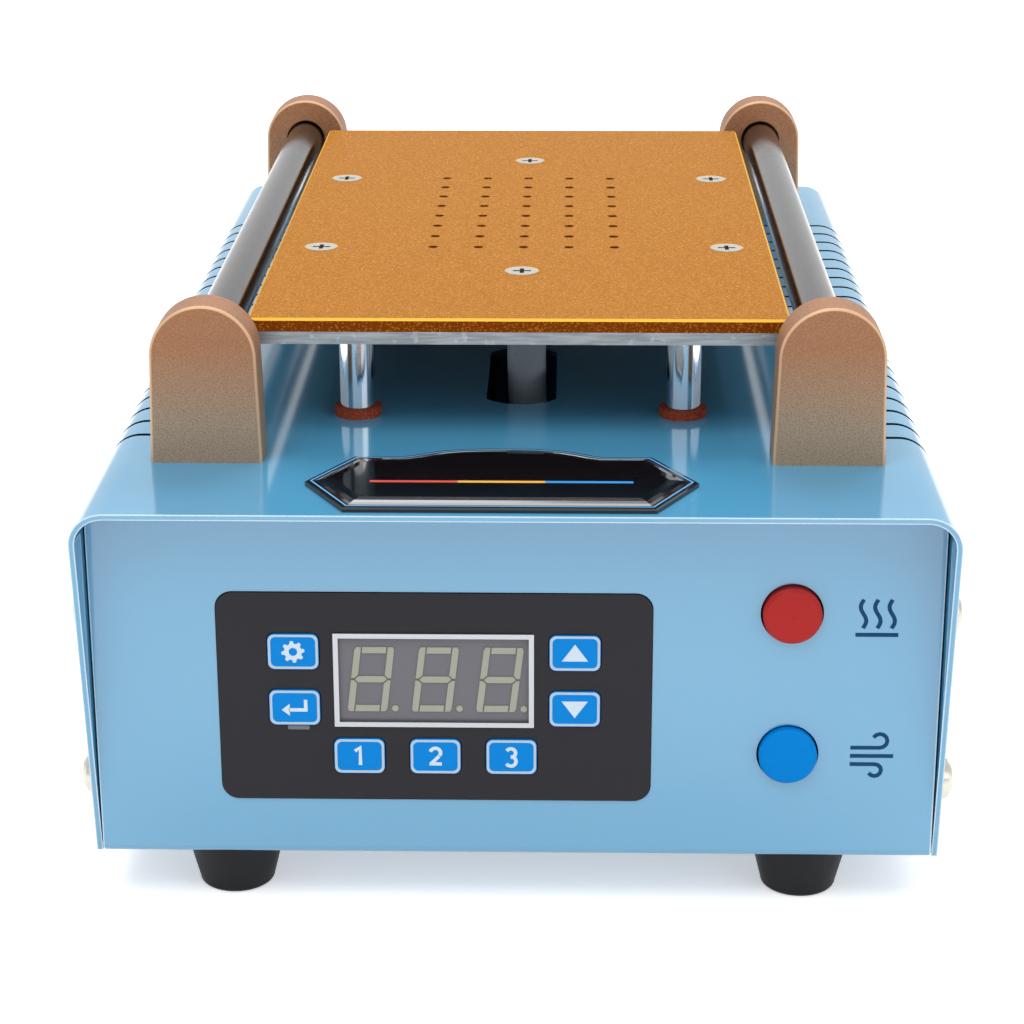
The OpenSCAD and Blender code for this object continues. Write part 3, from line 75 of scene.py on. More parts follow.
class Look:
    """A material under construction: the shader and a few ways to vary its colour and surface."""

    def __init__(self, name, colour, roughness, metallic=0.0, **sockets):
        self.material = bpy.data.materials.new(name)
        self.material.use_nodes = True
        self.nodes = self.material.node_tree.nodes
        self.links = self.material.node_tree.links
        self.shader = self.nodes["Principled BSDF"]
        self.shader.inputs["Base Color"].default_value = colour
        self.shader.inputs["Roughness"].default_value = roughness
        self.shader.inputs["Metallic"].default_value = metallic
        for socket, value in sockets.items():
            self.shader.inputs[socket.replace("_", " ")].default_value = value
        self.colour = colour
        self.place = self.nodes.new("ShaderNodeTexCoord").outputs["Object"]

    def noise(self, per_mm, detail=3.0, stretch=(1, 1, 1)):
        """Noise of about that many bumps to the millimetre, as a value round 0.5."""
        mapping = self.nodes.new("ShaderNodeMapping")
        mapping.inputs["Scale"].default_value = [s / MM * per_mm for s in stretch]
        noise = self.nodes.new("ShaderNodeTexNoise")
        noise.inputs["Scale"].default_value = 1.0
        noise.inputs["Detail"].default_value = detail
        self.links.new(self.place, mapping.inputs["Vector"])
        self.links.new(mapping.outputs["Vector"], noise.inputs["Vector"])
        return noise.outputs["Fac"]

    def spread(self, value, low, high, to_low=0.0, to_high=1.0):
        """The value's range from low to high, stretched to another range."""
        node = self.nodes.new("ShaderNodeMapRange")
        limits = {"From Min": low, "From Max": high, "To Min": to_low, "To Max": to_high}
        for socket, number in limits.items():
            node.inputs[socket].default_value = number
        self.links.new(value, node.inputs["Value"])
        return node.outputs["Result"]

    def mix(self, value, other):
        """Mixes another colour over the ones before it, by the value."""
        node = self.nodes.new("ShaderNodeMix")
        node.data_type = "RGBA"
        node.inputs["A"].default_value = self.colour
        before = self.shader.inputs["Base Color"].links
        if before:
            self.links.new(before[0].from_socket, node.inputs["A"])
        node.inputs["B"].default_value = other
        self.links.new(value, node.inputs["Factor"])
        self.links.new(node.outputs["Result"], self.shader.inputs["Base Color"])
        return self

    def rough(self, value, low, high):
        """Lets the roughness follow a value."""
        self.links.new(self.spread(value, 0.3, 0.7, low, high), self.shader.inputs["Roughness"])
        return self

    def bump(self, value, height_mm):
        """A bump of that height, added to the ones before it."""
        node = self.nodes.new("ShaderNodeBump")
        node.inputs["Strength"].default_value = 1.0
        node.inputs["Distance"].default_value = height_mm * MM
        self.links.new(value, node.inputs["Height"])
        before = self.shader.inputs["Normal"].links
        if before:
            self.links.new(before[0].from_socket, node.inputs["Normal"])
        self.links.new(node.outputs["Normal"], self.shader.inputs["Normal"])
        return self

    def edges(self, radius_mm):
        """1 close to an edge of the shape and 0 away from it."""
        bevel = self.nodes.new("ShaderNodeBevel")
        bevel.samples = BEVEL_SAMPLES
        bevel.inputs["Radius"].default_value = radius_mm * MM
        flat = self.nodes.new("ShaderNodeNewGeometry")
        dot = self.nodes.new("ShaderNodeVectorMath")
        dot.operation = "DOT_PRODUCT"
        self.links.new(bevel.outputs["Normal"], dot.inputs[0])
        self.links.new(flat.outputs["Normal"], dot.inputs[1])
        return self.spread(dot.outputs["Value"], *EDGE_TURN)

    def calc(self, kind, first, second=None):
        """The result of a math node on one or two values, of which the second may be a number."""
        node = self.nodes.new("ShaderNodeMath")
        node.operation = kind
        self.links.new(first, node.inputs[0])
        if isinstance(second, (int, float)):
            node.inputs[1].default_value = second
        elif second is not None:
            self.links.new(second, node.inputs[1])
        return node.outputs["Value"]

    def between(self, value, low, high, soft):
        """1 where the value lies between two limits, and 0 away from them."""
        above = self.spread(value, low - soft, low)
        below = self.spread(value, high + soft, high)
        return self.calc("MULTIPLY", above, below)

    def ribs(self, name, pitch_mm):
        """A wave of that pitch along one axis, as a value from -1 to 1."""
        turns = self.calc("MULTIPLY", self.axis(name), 2 * math.pi / (pitch_mm * MM))
        return self.calc("SINE", turns)

    def axis(self, name):
        """One coordinate of the point, in metres."""
        node = self.nodes.new("ShaderNodeSeparateXYZ")
        self.links.new(self.place, node.inputs["Vector"])
        return node.outputs[name]

    def facing(self, name):
        """One coordinate of the surface's direction."""
        flat = self.nodes.new("ShaderNodeNewGeometry")
        node = self.nodes.new("ShaderNodeSeparateXYZ")
        self.links.new(flat.outputs["True Normal"], node.inputs["Vector"])
        return node.outputs[name]


def plastic(name, colour, roughness, grain=0.004, **sockets):
    """A plastic with a fine grain and a slightly uneven gloss."""
    look = Look(name, colour, roughness, **sockets)
    grains = look.noise(3.0)
    look.rough(look.noise(0.12), roughness * 0.9, roughness * 1.12)
    return look.bump(grains, grain)


def metal(name, colour, roughness, grain=0.002, stretch=(1, 1, 1), **sockets):
    """A bare metal whose streaks change its gloss."""
    look = Look(name, colour, roughness, metallic=1.0, **sockets)
    streaks = look.noise(2.0, stretch=stretch)
    look.rough(streaks, roughness * 0.8, roughness * 1.25)
    return look.bump(streaks, grain)


# Where the slots of the case end, from its middle, and where the rims of its sheets begin
SLOTS_END_Y = 110 * MM
RIMS_BEGIN_Y = 120 * MM
RIMS_BEGIN_X = 78 * MM
RIMS_BEGIN_Z = 84.5 * MM


def case_paint():
    """Blue paint under a thick clear coat, with a painted highlight along the rims of the sheets and painted shade
    on the walls of the slots.
    """
    look = Look("case_paint", srgb(76, 150, 189), 0.4, Specular_IOR_Level=0.0,
                Coat_Weight=0.95, Coat_IOR=2.0, Coat_Roughness=0.1)
    look.mix(look.spread(look.noise(0.02), 0.35, 0.65, 0.0, 0.25), srgb(84, 156, 194))
    along = look.calc("ABSOLUTE", look.axis("Y"))
    across = look.calc("ABSOLUTE", look.axis("X"))
    sides = look.spread(across, RIMS_BEGIN_X, RIMS_BEGIN_X + MM)
    above = look.spread(look.axis("Z"), RIMS_BEGIN_Z, RIMS_BEGIN_Z + MM)
    ends = look.spread(along, SLOTS_END_Y, RIMS_BEGIN_Y)
    rims = look.calc("MULTIPLY", look.calc("MAXIMUM", sides, above), ends)
    # Painted highlight: the cut rims of the sheets made pale near their edges, as if catching the light.
    look.mix(look.calc("MULTIPLY", look.edges(0.5), rims), srgb(214, 234, 243))
    # Painted shade: the walls of the slots made dark, as if in shadow.
    shaded_slot_walls = look.spread(look.calc("ABSOLUTE", look.facing("Y")), 0.4, 0.6)
    slotted = look.spread(along, RIMS_BEGIN_Y, SLOTS_END_Y)
    look.mix(look.calc("MULTIPLY", shaded_slot_walls, slotted), srgb(18, 44, 62))
    look.rough(look.noise(0.3), 0.36, 0.44)
    return look.bump(look.noise(0.7, detail=1.0), 0.004)


def bracket_coat():
    """Bronze anodised over sand texture: browner above, greyer below, with a painted highlight on the chamfered
    rims.
    """
    low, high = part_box("bracket_front_left")
    look = Look("bracket_coat", srgb(158, 139, 117), 0.5, metallic=0.25, Specular_IOR_Level=0.3)
    height = look.spread(look.axis("Z"), low.z + 8 * MM, high.z - 8 * MM)
    look.mix(height, srgb(158, 110, 77))
    look.mix(look.spread(look.noise(3.4, detail=2.0), 0.42, 0.62, 0.0, 0.4), srgb(100, 70, 50))
    look.mix(look.spread(look.noise(4.2, detail=1.0), 0.6, 0.7, 0.0, 0.4), srgb(206, 164, 128))
    # Painted highlight: faces sloping between the front and the sides made pale, as if catching the light.
    rim = look.between(look.calc("ABSOLUTE", look.facing("Y")), 0.35, 0.9, 0.08)
    look.mix(rim, srgb(204, 166, 132))
    look.rough(look.noise(1.5), 0.42, 0.58)
    return look.bump(look.noise(2.2), 0.05)


def work_coat():
    """Orange-gold anodised over sand texture with painted glints: painted shade on the sides and in the holes,
    painted glints on the sides, and a painted highlight on the chamfer.
    """
    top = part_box("work_plate")[1].z
    look = Look("work_coat", srgb(165, 105, 24), 0.55, Specular_IOR_Level=0.04)
    look.mix(look.spread(look.noise(2.1, detail=3.0), 0.44, 0.6, 0.0, 0.7), srgb(142, 84, 10))
    # Painted glints: light specks over the sand grain, standing in for the sparkle of the anodising.
    look.mix(look.spread(look.noise(2.9, detail=1.0), 0.56, 0.68, 0.0, 0.65), srgb(222, 160, 62))
    # Painted shade and reflection: the sides and the walls of the holes, which face away from the light, made
    # dark.
    side = look.spread(look.facing("Z"), 0.5, 0.3)
    look.mix(side, srgb(118, 54, 4))
    # Painted glints: light specks on the darkened sides.
    side_glints = look.spread(look.noise(3.0, detail=1.0), 0.56, 0.66)
    look.mix(look.calc("MULTIPLY", side, side_glints), srgb(176, 100, 20))
    # Painted highlight: the chamfers and countersinks just under the top face made bright yellow.
    slope = look.between(look.facing("Z"), 0.4, 0.85, 0.05)
    above = look.spread(look.axis("Z"), top - 0.7 * MM, top - 0.5 * MM)
    look.mix(look.calc("MULTIPLY", slope, above), srgb(240, 184, 70))
    look.rough(look.noise(1.2), 0.38, 0.55)
    return look.bump(look.noise(1.9), 0.05)


def sleeve_weave():
    """White glass sleeve: fine woven ridges round it."""
    look = Look("sleeve_weave", srgb(226, 228, 228), 0.75, Sheen_Weight=0.3)
    look.mix(look.spread(look.noise(2.5), 0.46, 0.62, 0.0, 0.4), srgb(176, 178, 178))
    return look.bump(look.noise(4.0), 0.12)


def bare_plate():
    """Bare rolled aluminium, duller and scratched along its cut edges, with painted shade on its downward faces.
    """
    look = Look("bare_aluminium", srgb(150, 156, 160), 0.34, metallic=0.55, Specular_IOR_Level=0.3)
    streaks = look.noise(1.4, stretch=(0.08, 1, 1))
    look.mix(look.spread(streaks, 0.4, 0.6, 0.0, 0.6), srgb(112, 120, 126))
    look.mix(look.spread(look.noise(0.5, detail=4.0), 0.6, 0.7, 0.0, 0.5), srgb(176, 186, 194))
    # Painted shade: the faces that look down made darker.
    look.mix(look.spread(look.facing("Z"), -0.5, -0.8), srgb(120, 128, 134))
    look.rough(streaks, 0.28, 0.42)
    return look.bump(streaks, 0.01)


def rocker_plastic():
    """Clear red plastic over a ribbed insert: brown at the sides, with a painted highlight on its edges and
    painted shade on the upper end.
    """
    low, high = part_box("rocker")
    middle = (low.x + high.x) / 2
    look = Look("rocker_red", srgb(172, 38, 42), 0.3, Specular_IOR_Level=0.12)
    ribs = look.ribs("X", 0.57)
    look.mix(look.spread(ribs, 0.0, 0.8, 0.0, 0.6), srgb(120, 50, 38))
    for side in (-1, 1):
        reach = look.spread(look.axis("X"), middle + side * 3.6 * MM, middle + side * 3.8 * MM)
        look.mix(reach, srgb(88, 62, 42))
    # Painted highlight: the edges of the clear plastic made bright orange-red.
    look.mix(look.edges(0.4), srgb(206, 74, 38))
    # Painted shade: the faces of the upper end that turn upwards made dark maroon.
    look.mix(look.spread(look.facing("Z"), 0.35, 0.5), srgb(64, 18, 10))
    return look.bump(ribs, 0.01)


def inlet_plastic():
    """Fine-grained black plastic, with painted shade making it blacker deep in the socket."""
    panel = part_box("base_tray")[1].y
    look = plastic("inlet_black", srgb(25, 25, 28), 0.5, grain=0.012, Specular_IOR_Level=0.15)
    # Painted shade: everything from just outside the rear panel's face inwards fades to nearly black.
    return look.mix(look.spread(look.axis("Y"), panel + 2 * MM, panel - 1 * MM), srgb(4, 4, 5))


def pin_metal():
    """Nickel pins, with painted shade darkening them towards their edges so that only their ends show bright."""
    look = metal("pin_nickel", srgb(206, 202, 194), 0.24)
    # Painted shade: the pins darkened near their edges.
    return look.mix(look.edges(0.45), srgb(40, 38, 36))


def washer_board():
    """Red-brown fibre board with a lighter grain."""
    look = plastic("washer_fibre", srgb(138, 56, 38), 0.7, grain=0.02, Specular_IOR_Level=0.05)
    return look.mix(look.spread(look.noise(3.0, detail=1.0), 0.5, 0.65, 0.0, 0.6), srgb(186, 112, 76))


def ground_steel():
    """Smoothly ground grey steel that mirrors what lies beside it."""
    look = Look("roller_steel", srgb(84, 84, 87), 0.16, metallic=1.0)
    return look.rough(look.noise(0.3), 0.14, 0.2)


LOOKS = {
    "case_blue": case_paint(),
    "rubber_black": plastic("foot_rubber", srgb(20, 20, 23), 0.5, grain=0.01, Specular_IOR_Level=0.2),
    "screw_steel": metal("screw_nickel", srgb(196, 192, 182), 0.24),
    "bracket_bronze": bracket_coat(),
    "roller_steel": ground_steel(),
    "work_orange": work_coat(),
    "plate_bare": bare_plate(),
    "fibre": washer_board(),
    "mat_red": plastic("heater_silicone", srgb(84, 34, 26), 0.6, grain=0.02, Specular_IOR_Level=0.1),
    "brass": metal("brass", srgb(212, 178, 112), 0.25),
    "hose_clear": plastic("hose_silicone", srgb(206, 220, 232), 0.3, Transmission_Weight=0.15),
    "sleeve_white": sleeve_weave(),
    "lead_black": plastic("lead_sheath", srgb(20, 20, 22), 0.35),
    "badge_black": plastic("badge_gloss", srgb(10, 11, 15), 0.08, grain=0.0003, Coat_Weight=0.6),
    "plug_white": plastic("cap_white", srgb(214, 226, 234), 0.3, Transmission_Weight=0.3),
    "panel_black": plastic("panel_film", srgb(39, 38, 43), 0.4, grain=0.003, Specular_IOR_Level=0.15),
    "frame_silver": metal("frame_silver", srgb(174, 176, 181), 0.34),
    "display_grey": plastic("display_face", srgb(104, 102, 108), 0.3, grain=0.0008, Specular_IOR_Level=0.3),
    "digit_pale": plastic("digit_unlit", srgb(156, 157, 142), 0.4, Specular_IOR_Level=0.2),
    "key_blue": plastic("key_blue", srgb(0, 126, 206), 0.4, Specular_IOR_Level=0.1),
    "board_green": plastic("circuit_board", srgb(30, 100, 66), 0.3),
    "button_red": plastic("button_red", srgb(166, 34, 32), 0.34, grain=0.006, Specular_IOR_Level=0.15),
    "button_blue": plastic("button_blue", srgb(0, 122, 200), 0.34, grain=0.006, Specular_IOR_Level=0.05),
    "switch_dark": plastic("switch_body", srgb(40, 40, 44), 0.5, Specular_IOR_Level=0.25),
    "inlet_black": inlet_plastic(),
    "rocker_red": rocker_plastic(),
    "pump_grey": plastic("pump_body", srgb(52, 52, 55), 0.5, grain=0.02),
    "motor_steel": metal("motor_can", srgb(176, 178, 182), 0.3, stretch=(1, 0.1, 1)),
}

OWN_LOOKS = {
    "standoffs": metal("standoff_chrome", srgb(216, 219, 224), 0.09, grain=0.0003),
    "inlet_pins": pin_metal(),
}


def dress_nodes():
    """Gives each node of the frame its own look, or else that of its material slot."""
    slots = {part["node"]: part["material_slot"] for part in frame["record"]["subparts"]}
    for name, node in frame["nodes"].items():
        look = OWN_LOOKS.get(name) or LOOKS[slots[name]]
        node.data.materials.clear()
        node.data.materials.append(look.material)


dress_nodes()


# Camera, stage and light

CAMERA_AT = Vector((10.26, -610.26, 256.49)) * MM
CAMERA_TURN = (90 - 19.65, 0.14, 1.25)
CAMERA_LENS = 92.0
CAMERA_SENSOR = 36.0
WORLD_LIGHT = 0.62
FLOOR_HALF = 6.0
FLOOR_TONE = 0.9
FLOOR_GLOW = 0.46
LAMP_AIM = Vector((0, 0, 0.06))
# Name, place, width and height, power
LAMPS = (
    ("key", (-0.35, -0.8, 1.5), (1.0, 1.0), 14.5),
    ("fill", (1.1, -1.1, 0.8), (1.0, 1.0), 4.5),
    ("back", (0.2, 0.9, 1.5), (1.6, 0.8), 17),
)


def add_camera():
    """The camera at the photograph's place, as fitted to the edges of the case."""
    data = bpy.data.cameras.new("camera")
    data.lens = CAMERA_LENS
    data.sensor_width = CAMERA_SENSOR
    data.clip_start = 0.01
    camera = bpy.data.objects.new("camera", data)
    camera.location = CAMERA_AT
    camera.rotation_euler = [math.radians(a) for a in CAMERA_TURN]
    SCENE.collection.objects.link(camera)
    SCENE.camera = camera


def add_lamp(name, at, size, power):
    """A soft rectangular lamp that looks at the object."""
    data = bpy.data.lights.new(name, "AREA")
    data.shape = "RECTANGLE"
    data.size, data.size_y = size
    data.energy = power
    lamp = bpy.data.objects.new(name, data)
    lamp.location = at
    lamp.rotation_euler = (LAMP_AIM - Vector(at)).to_track_quat("-Z", "Y").to_euler()
    SCENE.collection.objects.link(lamp)


def seen_directly(nodes, links):
    """1 for rays that come from the camera, a mirror or glass, 0 for those that light the object."""
    path = nodes.new("ShaderNodeLightPath")
    seen = path.outputs["Is Camera Ray"]
    for name in ("Is Glossy Ray", "Is Transmission Ray"):
        larger = nodes.new("ShaderNodeMath")
        larger.operation = "MAXIMUM"
        links.new(seen, larger.inputs[0])
        links.new(path.outputs[name], larger.inputs[1])
        seen = larger.outputs["Value"]
    return seen


def add_world():
    """White all round where it is seen, and a little dimmer as a light."""
    world = bpy.data.worlds.new("studio")
    world.use_nodes = True
    nodes, links = world.node_tree.nodes, world.node_tree.links
    back = nodes["Background"]
    back.inputs["Color"].default_value = (1, 1, 1, 1)
    strength = nodes.new("ShaderNodeMapRange")
    strength.inputs["To Min"].default_value = WORLD_LIGHT
    strength.inputs["To Max"].default_value = 1.0
    links.new(seen_directly(nodes, links), strength.inputs["Value"])
    links.new(strength.outputs["Result"], back.inputs["Strength"])
    SCENE.world = world


def add_floor():
    """A pale floor that glows a little where it is seen, so that it ends in the white round it."""
    mesh = bpy.data.meshes.new("floor")
    corners = [(x * FLOOR_HALF, y * FLOOR_HALF, 0) for x, y in ((-1, -1), (1, -1), (1, 1), (-1, 1))]
    mesh.from_pydata(corners, [], [(0, 1, 2, 3)])
    floor = bpy.data.objects.new("floor", mesh)
    SCENE.collection.objects.link(floor)
    material = bpy.data.materials.new("floor_white")
    material.use_nodes = True
    nodes, links = material.node_tree.nodes, material.node_tree.links
    shader = nodes["Principled BSDF"]
    shader.inputs["Base Color"].default_value = (FLOOR_TONE, FLOOR_TONE, FLOOR_TONE, 1)
    shader.inputs["Roughness"].default_value = 0.9
    shader.inputs["Emission Color"].default_value = (1, 1, 1, 1)
    glow = nodes.new("ShaderNodeMath")
    glow.operation = "MULTIPLY"
    glow.inputs[1].default_value = FLOOR_GLOW
    links.new(seen_directly(nodes, links), glow.inputs[0])
    links.new(glow.outputs["Value"], shader.inputs["Emission Strength"])
    mesh.materials.append(material)


add_camera()
add_world()
add_floor()
for lamp in LAMPS:
    add_lamp(*lamp)


# Mesh helpers

def make(name, verts, faces, look, body=BASE, smooth=False):
    """A piece from its points and faces, with its faces turned outwards."""
    mesh = bpy.data.meshes.new(name)
    mesh.from_pydata([tuple(v) for v in verts], [], faces)
    shape = bmesh.new()
    shape.from_mesh(mesh)
    bmesh.ops.remove_doubles(shape, verts=shape.verts, dist=1e-7)
    bmesh.ops.recalc_face_normals(shape, faces=shape.faces)
    shape.to_mesh(mesh)
    shape.free()
    if smooth:
        mesh.shade_smooth()
    piece = bpy.data.objects.new(name, mesh)
    SCENE.collection.objects.link(piece)
    mesh.materials.append(look.material)
    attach(piece, body)
    return piece


def slab(outline, place, thickness):
    """Points and faces of a flat shape of some thickness, with its outline in millimetres.

    place turns a point (x, y) of a drawing and a height over it into a point of the model, in metres.
    """
    n = len(outline)
    verts = [place(x, y, h) for h in (0, thickness) for x, y in outline]
    faces = [tuple(reversed(range(n))), tuple(range(n, 2 * n))]
    faces += [(i, (i + 1) % n, n + (i + 1) % n, n + i) for i in range(n)]
    return verts, faces


def ring(outer, inner, place, thickness, closed=True):
    """Points and faces of a flat band between two outlines that have equally many points."""
    n = len(outer)
    verts = [place(x, y, h) for h in (0, thickness) for line in (outer, inner) for x, y in line]
    faces = [] if closed else [(0, n, 3 * n, 2 * n), (n - 1, 3 * n - 1, 4 * n - 1, 2 * n - 1)]
    for i in range(n if closed else n - 1):
        j = (i + 1) % n
        faces.append((i, n + i, n + j, j))
        faces.append((2 * n + i, 2 * n + j, 3 * n + j, 3 * n + i))
        faces.append((i, j, 2 * n + j, 2 * n + i))
        faces.append((n + i, 3 * n + i, 3 * n + j, n + j))
    return verts, faces


def joined(*parts):
    """Several sets of points and faces as one."""
    verts, faces = [], []
    for more_verts, more_faces in parts:
        start = len(verts)
        verts += more_verts
        faces += [tuple(start + i for i in face) for face in more_faces]
    return verts, faces


def arc(x, y, r, start, end, steps=8):
    """Points on an arc round (x, y), from one angle in degrees to another."""
    angles = [math.radians(start + (end - start) * i / steps) for i in range(steps + 1)]
    return [(x + r * math.cos(a), y + r * math.sin(a)) for a in angles]


def rounded(w, h, r):
    """The outline of a rectangle with round corners, round its own middle."""
    points = []
    for k, (sx, sy) in enumerate(((1, 1), (-1, 1), (-1, -1), (1, -1))):
        points += arc(sx * (w / 2 - r), sy * (h / 2 - r), r, 90 * k, 90 * k + 90, 6)
    return points


def stroke(path, width, place, thickness):
    """Points and faces of a line of even width along a path, with square ends."""
    left, right = [], []
    points = [Vector(p) for p in path]
    for i, point in enumerate(points):
        a = (point - points[i - 1]).normalized() if i else (points[1] - point).normalized()
        b = (points[i + 1] - point).normalized() if i < len(points) - 1 else a
        across = Vector((-a.y - b.y, a.x + b.x)) / max(1 + a.dot(b), 0.6)
        left.append(tuple(point + across * width / 2))
        right.append(tuple(point - across * width / 2))
    return ring(left, right, place, thickness, closed=False)


def strokes(paths, width, place, thickness):
    """Several lines, each a little higher than the one before, so that none lie in one plane."""
    return joined(*[stroke(path, width, place, thickness * (1 + k / 5)) for k, path in enumerate(paths)])


def on_front(x, y, z):
    """Places a drawing on the front: its x to the right, its y up and its height out of the panel."""
    return lambda u, v, h: Vector((x + u, y - h, z + v)) * MM


def on_rear(x, y, z):
    """Places a drawing on the rear, as seen from behind."""
    return lambda u, v, h: Vector((x - u, y + h, z + v)) * MM


def on_top(x, y, z):
    """Places a drawing on a level face, as seen from above with the front below."""
    return lambda u, v, h: Vector((x + u, y + v, z + h)) * MM


def on_side(x, y, z, side):
    """Places a drawing on a side of the case: 1 for the right one, -1 for the left one."""
    return lambda u, v, h: Vector((x + side * h, y + u, z + v)) * MM


# Hose, leads and sleeves, along the same routes as their solids, in millimetres

HOSE_ROUTE = [(0.8, -43, 107.2), (0.8, -43, 98), (0.8, -43, 89), (1.2, -42.8, 80), (3.2, -41.5, 71),
              (7.5, -38, 62.4), (13, -33, 55), (18, -27.5, 50.2), (20.5, -23, 48.4), (21, -18, 48.2),
              (21, -12.4, 48.2)]
SLEEVE_ROUTE = [(6.8, 60, 105.6), (6, 66, 103.2), (4.6, 72, 100.6), (2.2, 78, 98.2), (-0.6, 84, 96.1),
                (-3.8, 90, 94.3), (-7.8, 97.2, 92.7)]
LEAD_ROUTES = [
    [(-7.4, 96.4, 93.6), (-8.6, 98.5, 93.1), (-10.8, 100.9, 92.4), (-13.4, 101.6, 91.9), (-16, 99, 91.6),
     (-18, 92, 91.7), (-18.6, 84, 92), (-17.4, 76, 92.1), (-15, 69.6, 92), (-11.8, 65.4, 91.7),
     (-8.4, 61.6, 91.2), (-5.8, 58.4, 89.6), (-5, 57.6, 86.4), (-6, 59, 78), (-8.4, 63, 66),
     (-10, 66, 50), (-10, 66, 32)],
    [(-7.2, 96.2, 92.2), (-8.4, 98.2, 91.5), (-10.6, 99.6, 90.8), (-13.4, 98.9, 90.4), (-15.2, 95.2, 90.4),
     (-15.4, 90.6, 90.8), (-14.4, 85, 91.2), (-12.4, 79.4, 91.4), (-10, 74, 91.3), (-7.4, 68, 90.8),
     (-5, 62.4, 90), (-3.2, 58.6, 88.6), (-2.6, 57, 85.8), (-3.4, 59.6, 78), (-9, 64.6, 66),
     (-14, 66, 50), (-14, 66, 32)]]
SENSOR_ROUTE = [(-2.9, 48, 106.1), (-2.9, 48, 99), (-2.9, 48, 91), (-2.7, 48.6, 84), (-1.4, 50.4, 76),
                (0.8, 55, 64), (0.6, 61, 52), (-5.6, 65.6, 42), (-6, 66, 32)]
HARNESS_ROUTES = [
    [(54.3, -106.9, 65.3), (54.3, -100, 66), (44, -90, 69), (26, -78, 73), (4, -68, 76), (-14, -58, 74),
     (-28, -44, 62), (-36, -31, 42), (-38, -24, 28.6), (-38, -18, 27)],
    [(54.3, -106.9, 35.2), (54.3, -98, 37), (44, -84, 52), (27, -70, 68), (6, -60, 74.6), (-12, -50, 72),
     (-25, -40, 60), (-30, -31, 42), (-32, -24, 28.6), (-32, -18, 27)]]
HOSE_D = 8.7
HOSE_BORE_D = 6.0
SLEEVE_D = 4.0
SLEEVE_BORE_D = 3.2
SLEEVE_RIB = 0.12
SLEEVE_FLUTE = 0.2
LEAD_D = 1.3
SENSOR_LEAD_D = 1.8
HARNESS_D = 2.0
ROUTE_STEPS = 8
SLEEVE_STEPS = 24
# How many points of its route each end's bore is deep
HOSE_BORES = (9, 12)
SLEEVE_BORES = (0, 12)


def smooth_route(route, steps):
    """A smooth curve through all points of a route."""
    points = [Vector(p) for p in route]
    curve = []
    for i in range(len(points) - 1):
        a, b = points[max(i - 1, 0)], points[i]
        c, d = points[i + 1], points[min(i + 2, len(points) - 1)]
        for s in range(steps):
            t = s / steps
            curve.append((2 * b + (c - a) * t + (2 * a - 5 * b + 4 * c - d) * t ** 2
                          + (3 * b - a - 3 * c + d) * t ** 3) / 2)
    curve.append(points[-1])
    return curve


def tube(curve, diameter, sides=16, start_cap=True, end_cap=True):
    """A tube along a curve. diameter is a number, or a function of a point's index and of the side."""
    size = diameter if callable(diameter) else lambda i, k: diameter
    verts, faces = [], []
    side = None
    for i, point in enumerate(curve):
        along = (curve[min(i + 1, len(curve) - 1)] - curve[max(i - 1, 0)]).normalized()
        if side is None:
            side = along.orthogonal().normalized()
        side = (side - side.dot(along) * along).normalized()
        up = along.cross(side)
        for k in range(sides):
            a = 2 * math.pi * k / sides
            verts.append((point + size(i, k) / 2 * (math.cos(a) * side + math.sin(a) * up)) * MM)
    for i in range(len(curve) - 1):
        for k in range(sides):
            j = (k + 1) % sides
            faces.append((i * sides + k, i * sides + j, (i + 1) * sides + j, (i + 1) * sides + k))
    last = (len(curve) - 1) * sides
    if start_cap:
        faces.append(tuple(reversed(range(sides))))
    if end_cap:
        faces.append(tuple(range(last, last + sides)))
    return verts, faces


def hollow_ends(curve, outer, bore, depths, sides=16):
    """A tube with a bore in each end, as many points of the curve deep as depths says."""
    verts, faces = tube(curve, outer, sides, start_cap=False, end_cap=False)
    n = len(curve)
    for inside, mouth in ((curve[:depths[0]], 0), (curve[::-1][:depths[1]], (n - 1) * sides)):
        if not inside:
            faces.append(tuple(range(mouth, mouth + sides)))
            continue
        start = len(verts)
        more, walls = tube(inside, bore, sides, start_cap=False)
        verts += more
        faces += [tuple(start + i for i in face) for face in walls]
        rim = [min(range(start, start + sides), key=lambda i: (verts[i] - verts[mouth + k]).length)
               for k in range(sides)]
        for k in range(sides):
            j = (k + 1) % sides
            faces.append((mouth + k, mouth + j, rim[j], rim[k]))
    return verts, faces


def woven(i, k):
    """The sleeve's diameter: ribs round it and flutes along it, as its threads cross."""
    return SLEEVE_D - SLEEVE_RIB * (1 + math.cos(i * math.pi / 2)) - SLEEVE_FLUTE * (k % 2)


def add_leads():
    """The round and woven pieces that stand in for the eight-sided solids."""
    hose = smooth_route(HOSE_ROUTE, ROUTE_STEPS)
    hose = hollow_ends(hose, HOSE_D, HOSE_BORE_D, HOSE_BORES)
    piece = make("vacuum_hose_soft", *hose, LOOKS["hose_clear"], smooth=True)
    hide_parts("vacuum_hose")
    sleeve = smooth_route(SLEEVE_ROUTE, SLEEVE_STEPS)
    sleeve = hollow_ends(sleeve, woven, SLEEVE_BORE_D, SLEEVE_BORES, sides=24)
    piece = make("heater_sleeve_woven", *sleeve, LOOKS["sleeve_white"], smooth=True)
    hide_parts("heater_sleeve")
    for name, node, routes, d, look in (
            ("heater_leads_round", "heater_leads", LEAD_ROUTES, LEAD_D, "lead_black"),
            ("sensor_lead_round", "sensor_lead", [SENSOR_ROUTE], SENSOR_LEAD_D, "lead_black"),
            ("switch_wires_round", "switch_wires", HARNESS_ROUTES, HARNESS_D, "lead_black")):
        parts = [tube(smooth_route(route, ROUTE_STEPS), d, sides=12) for route in routes]
        piece = make(name, *joined(*parts), LOOKS[look], smooth=True)
        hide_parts(node)


add_leads()


# Control panel: key borders and glyphs

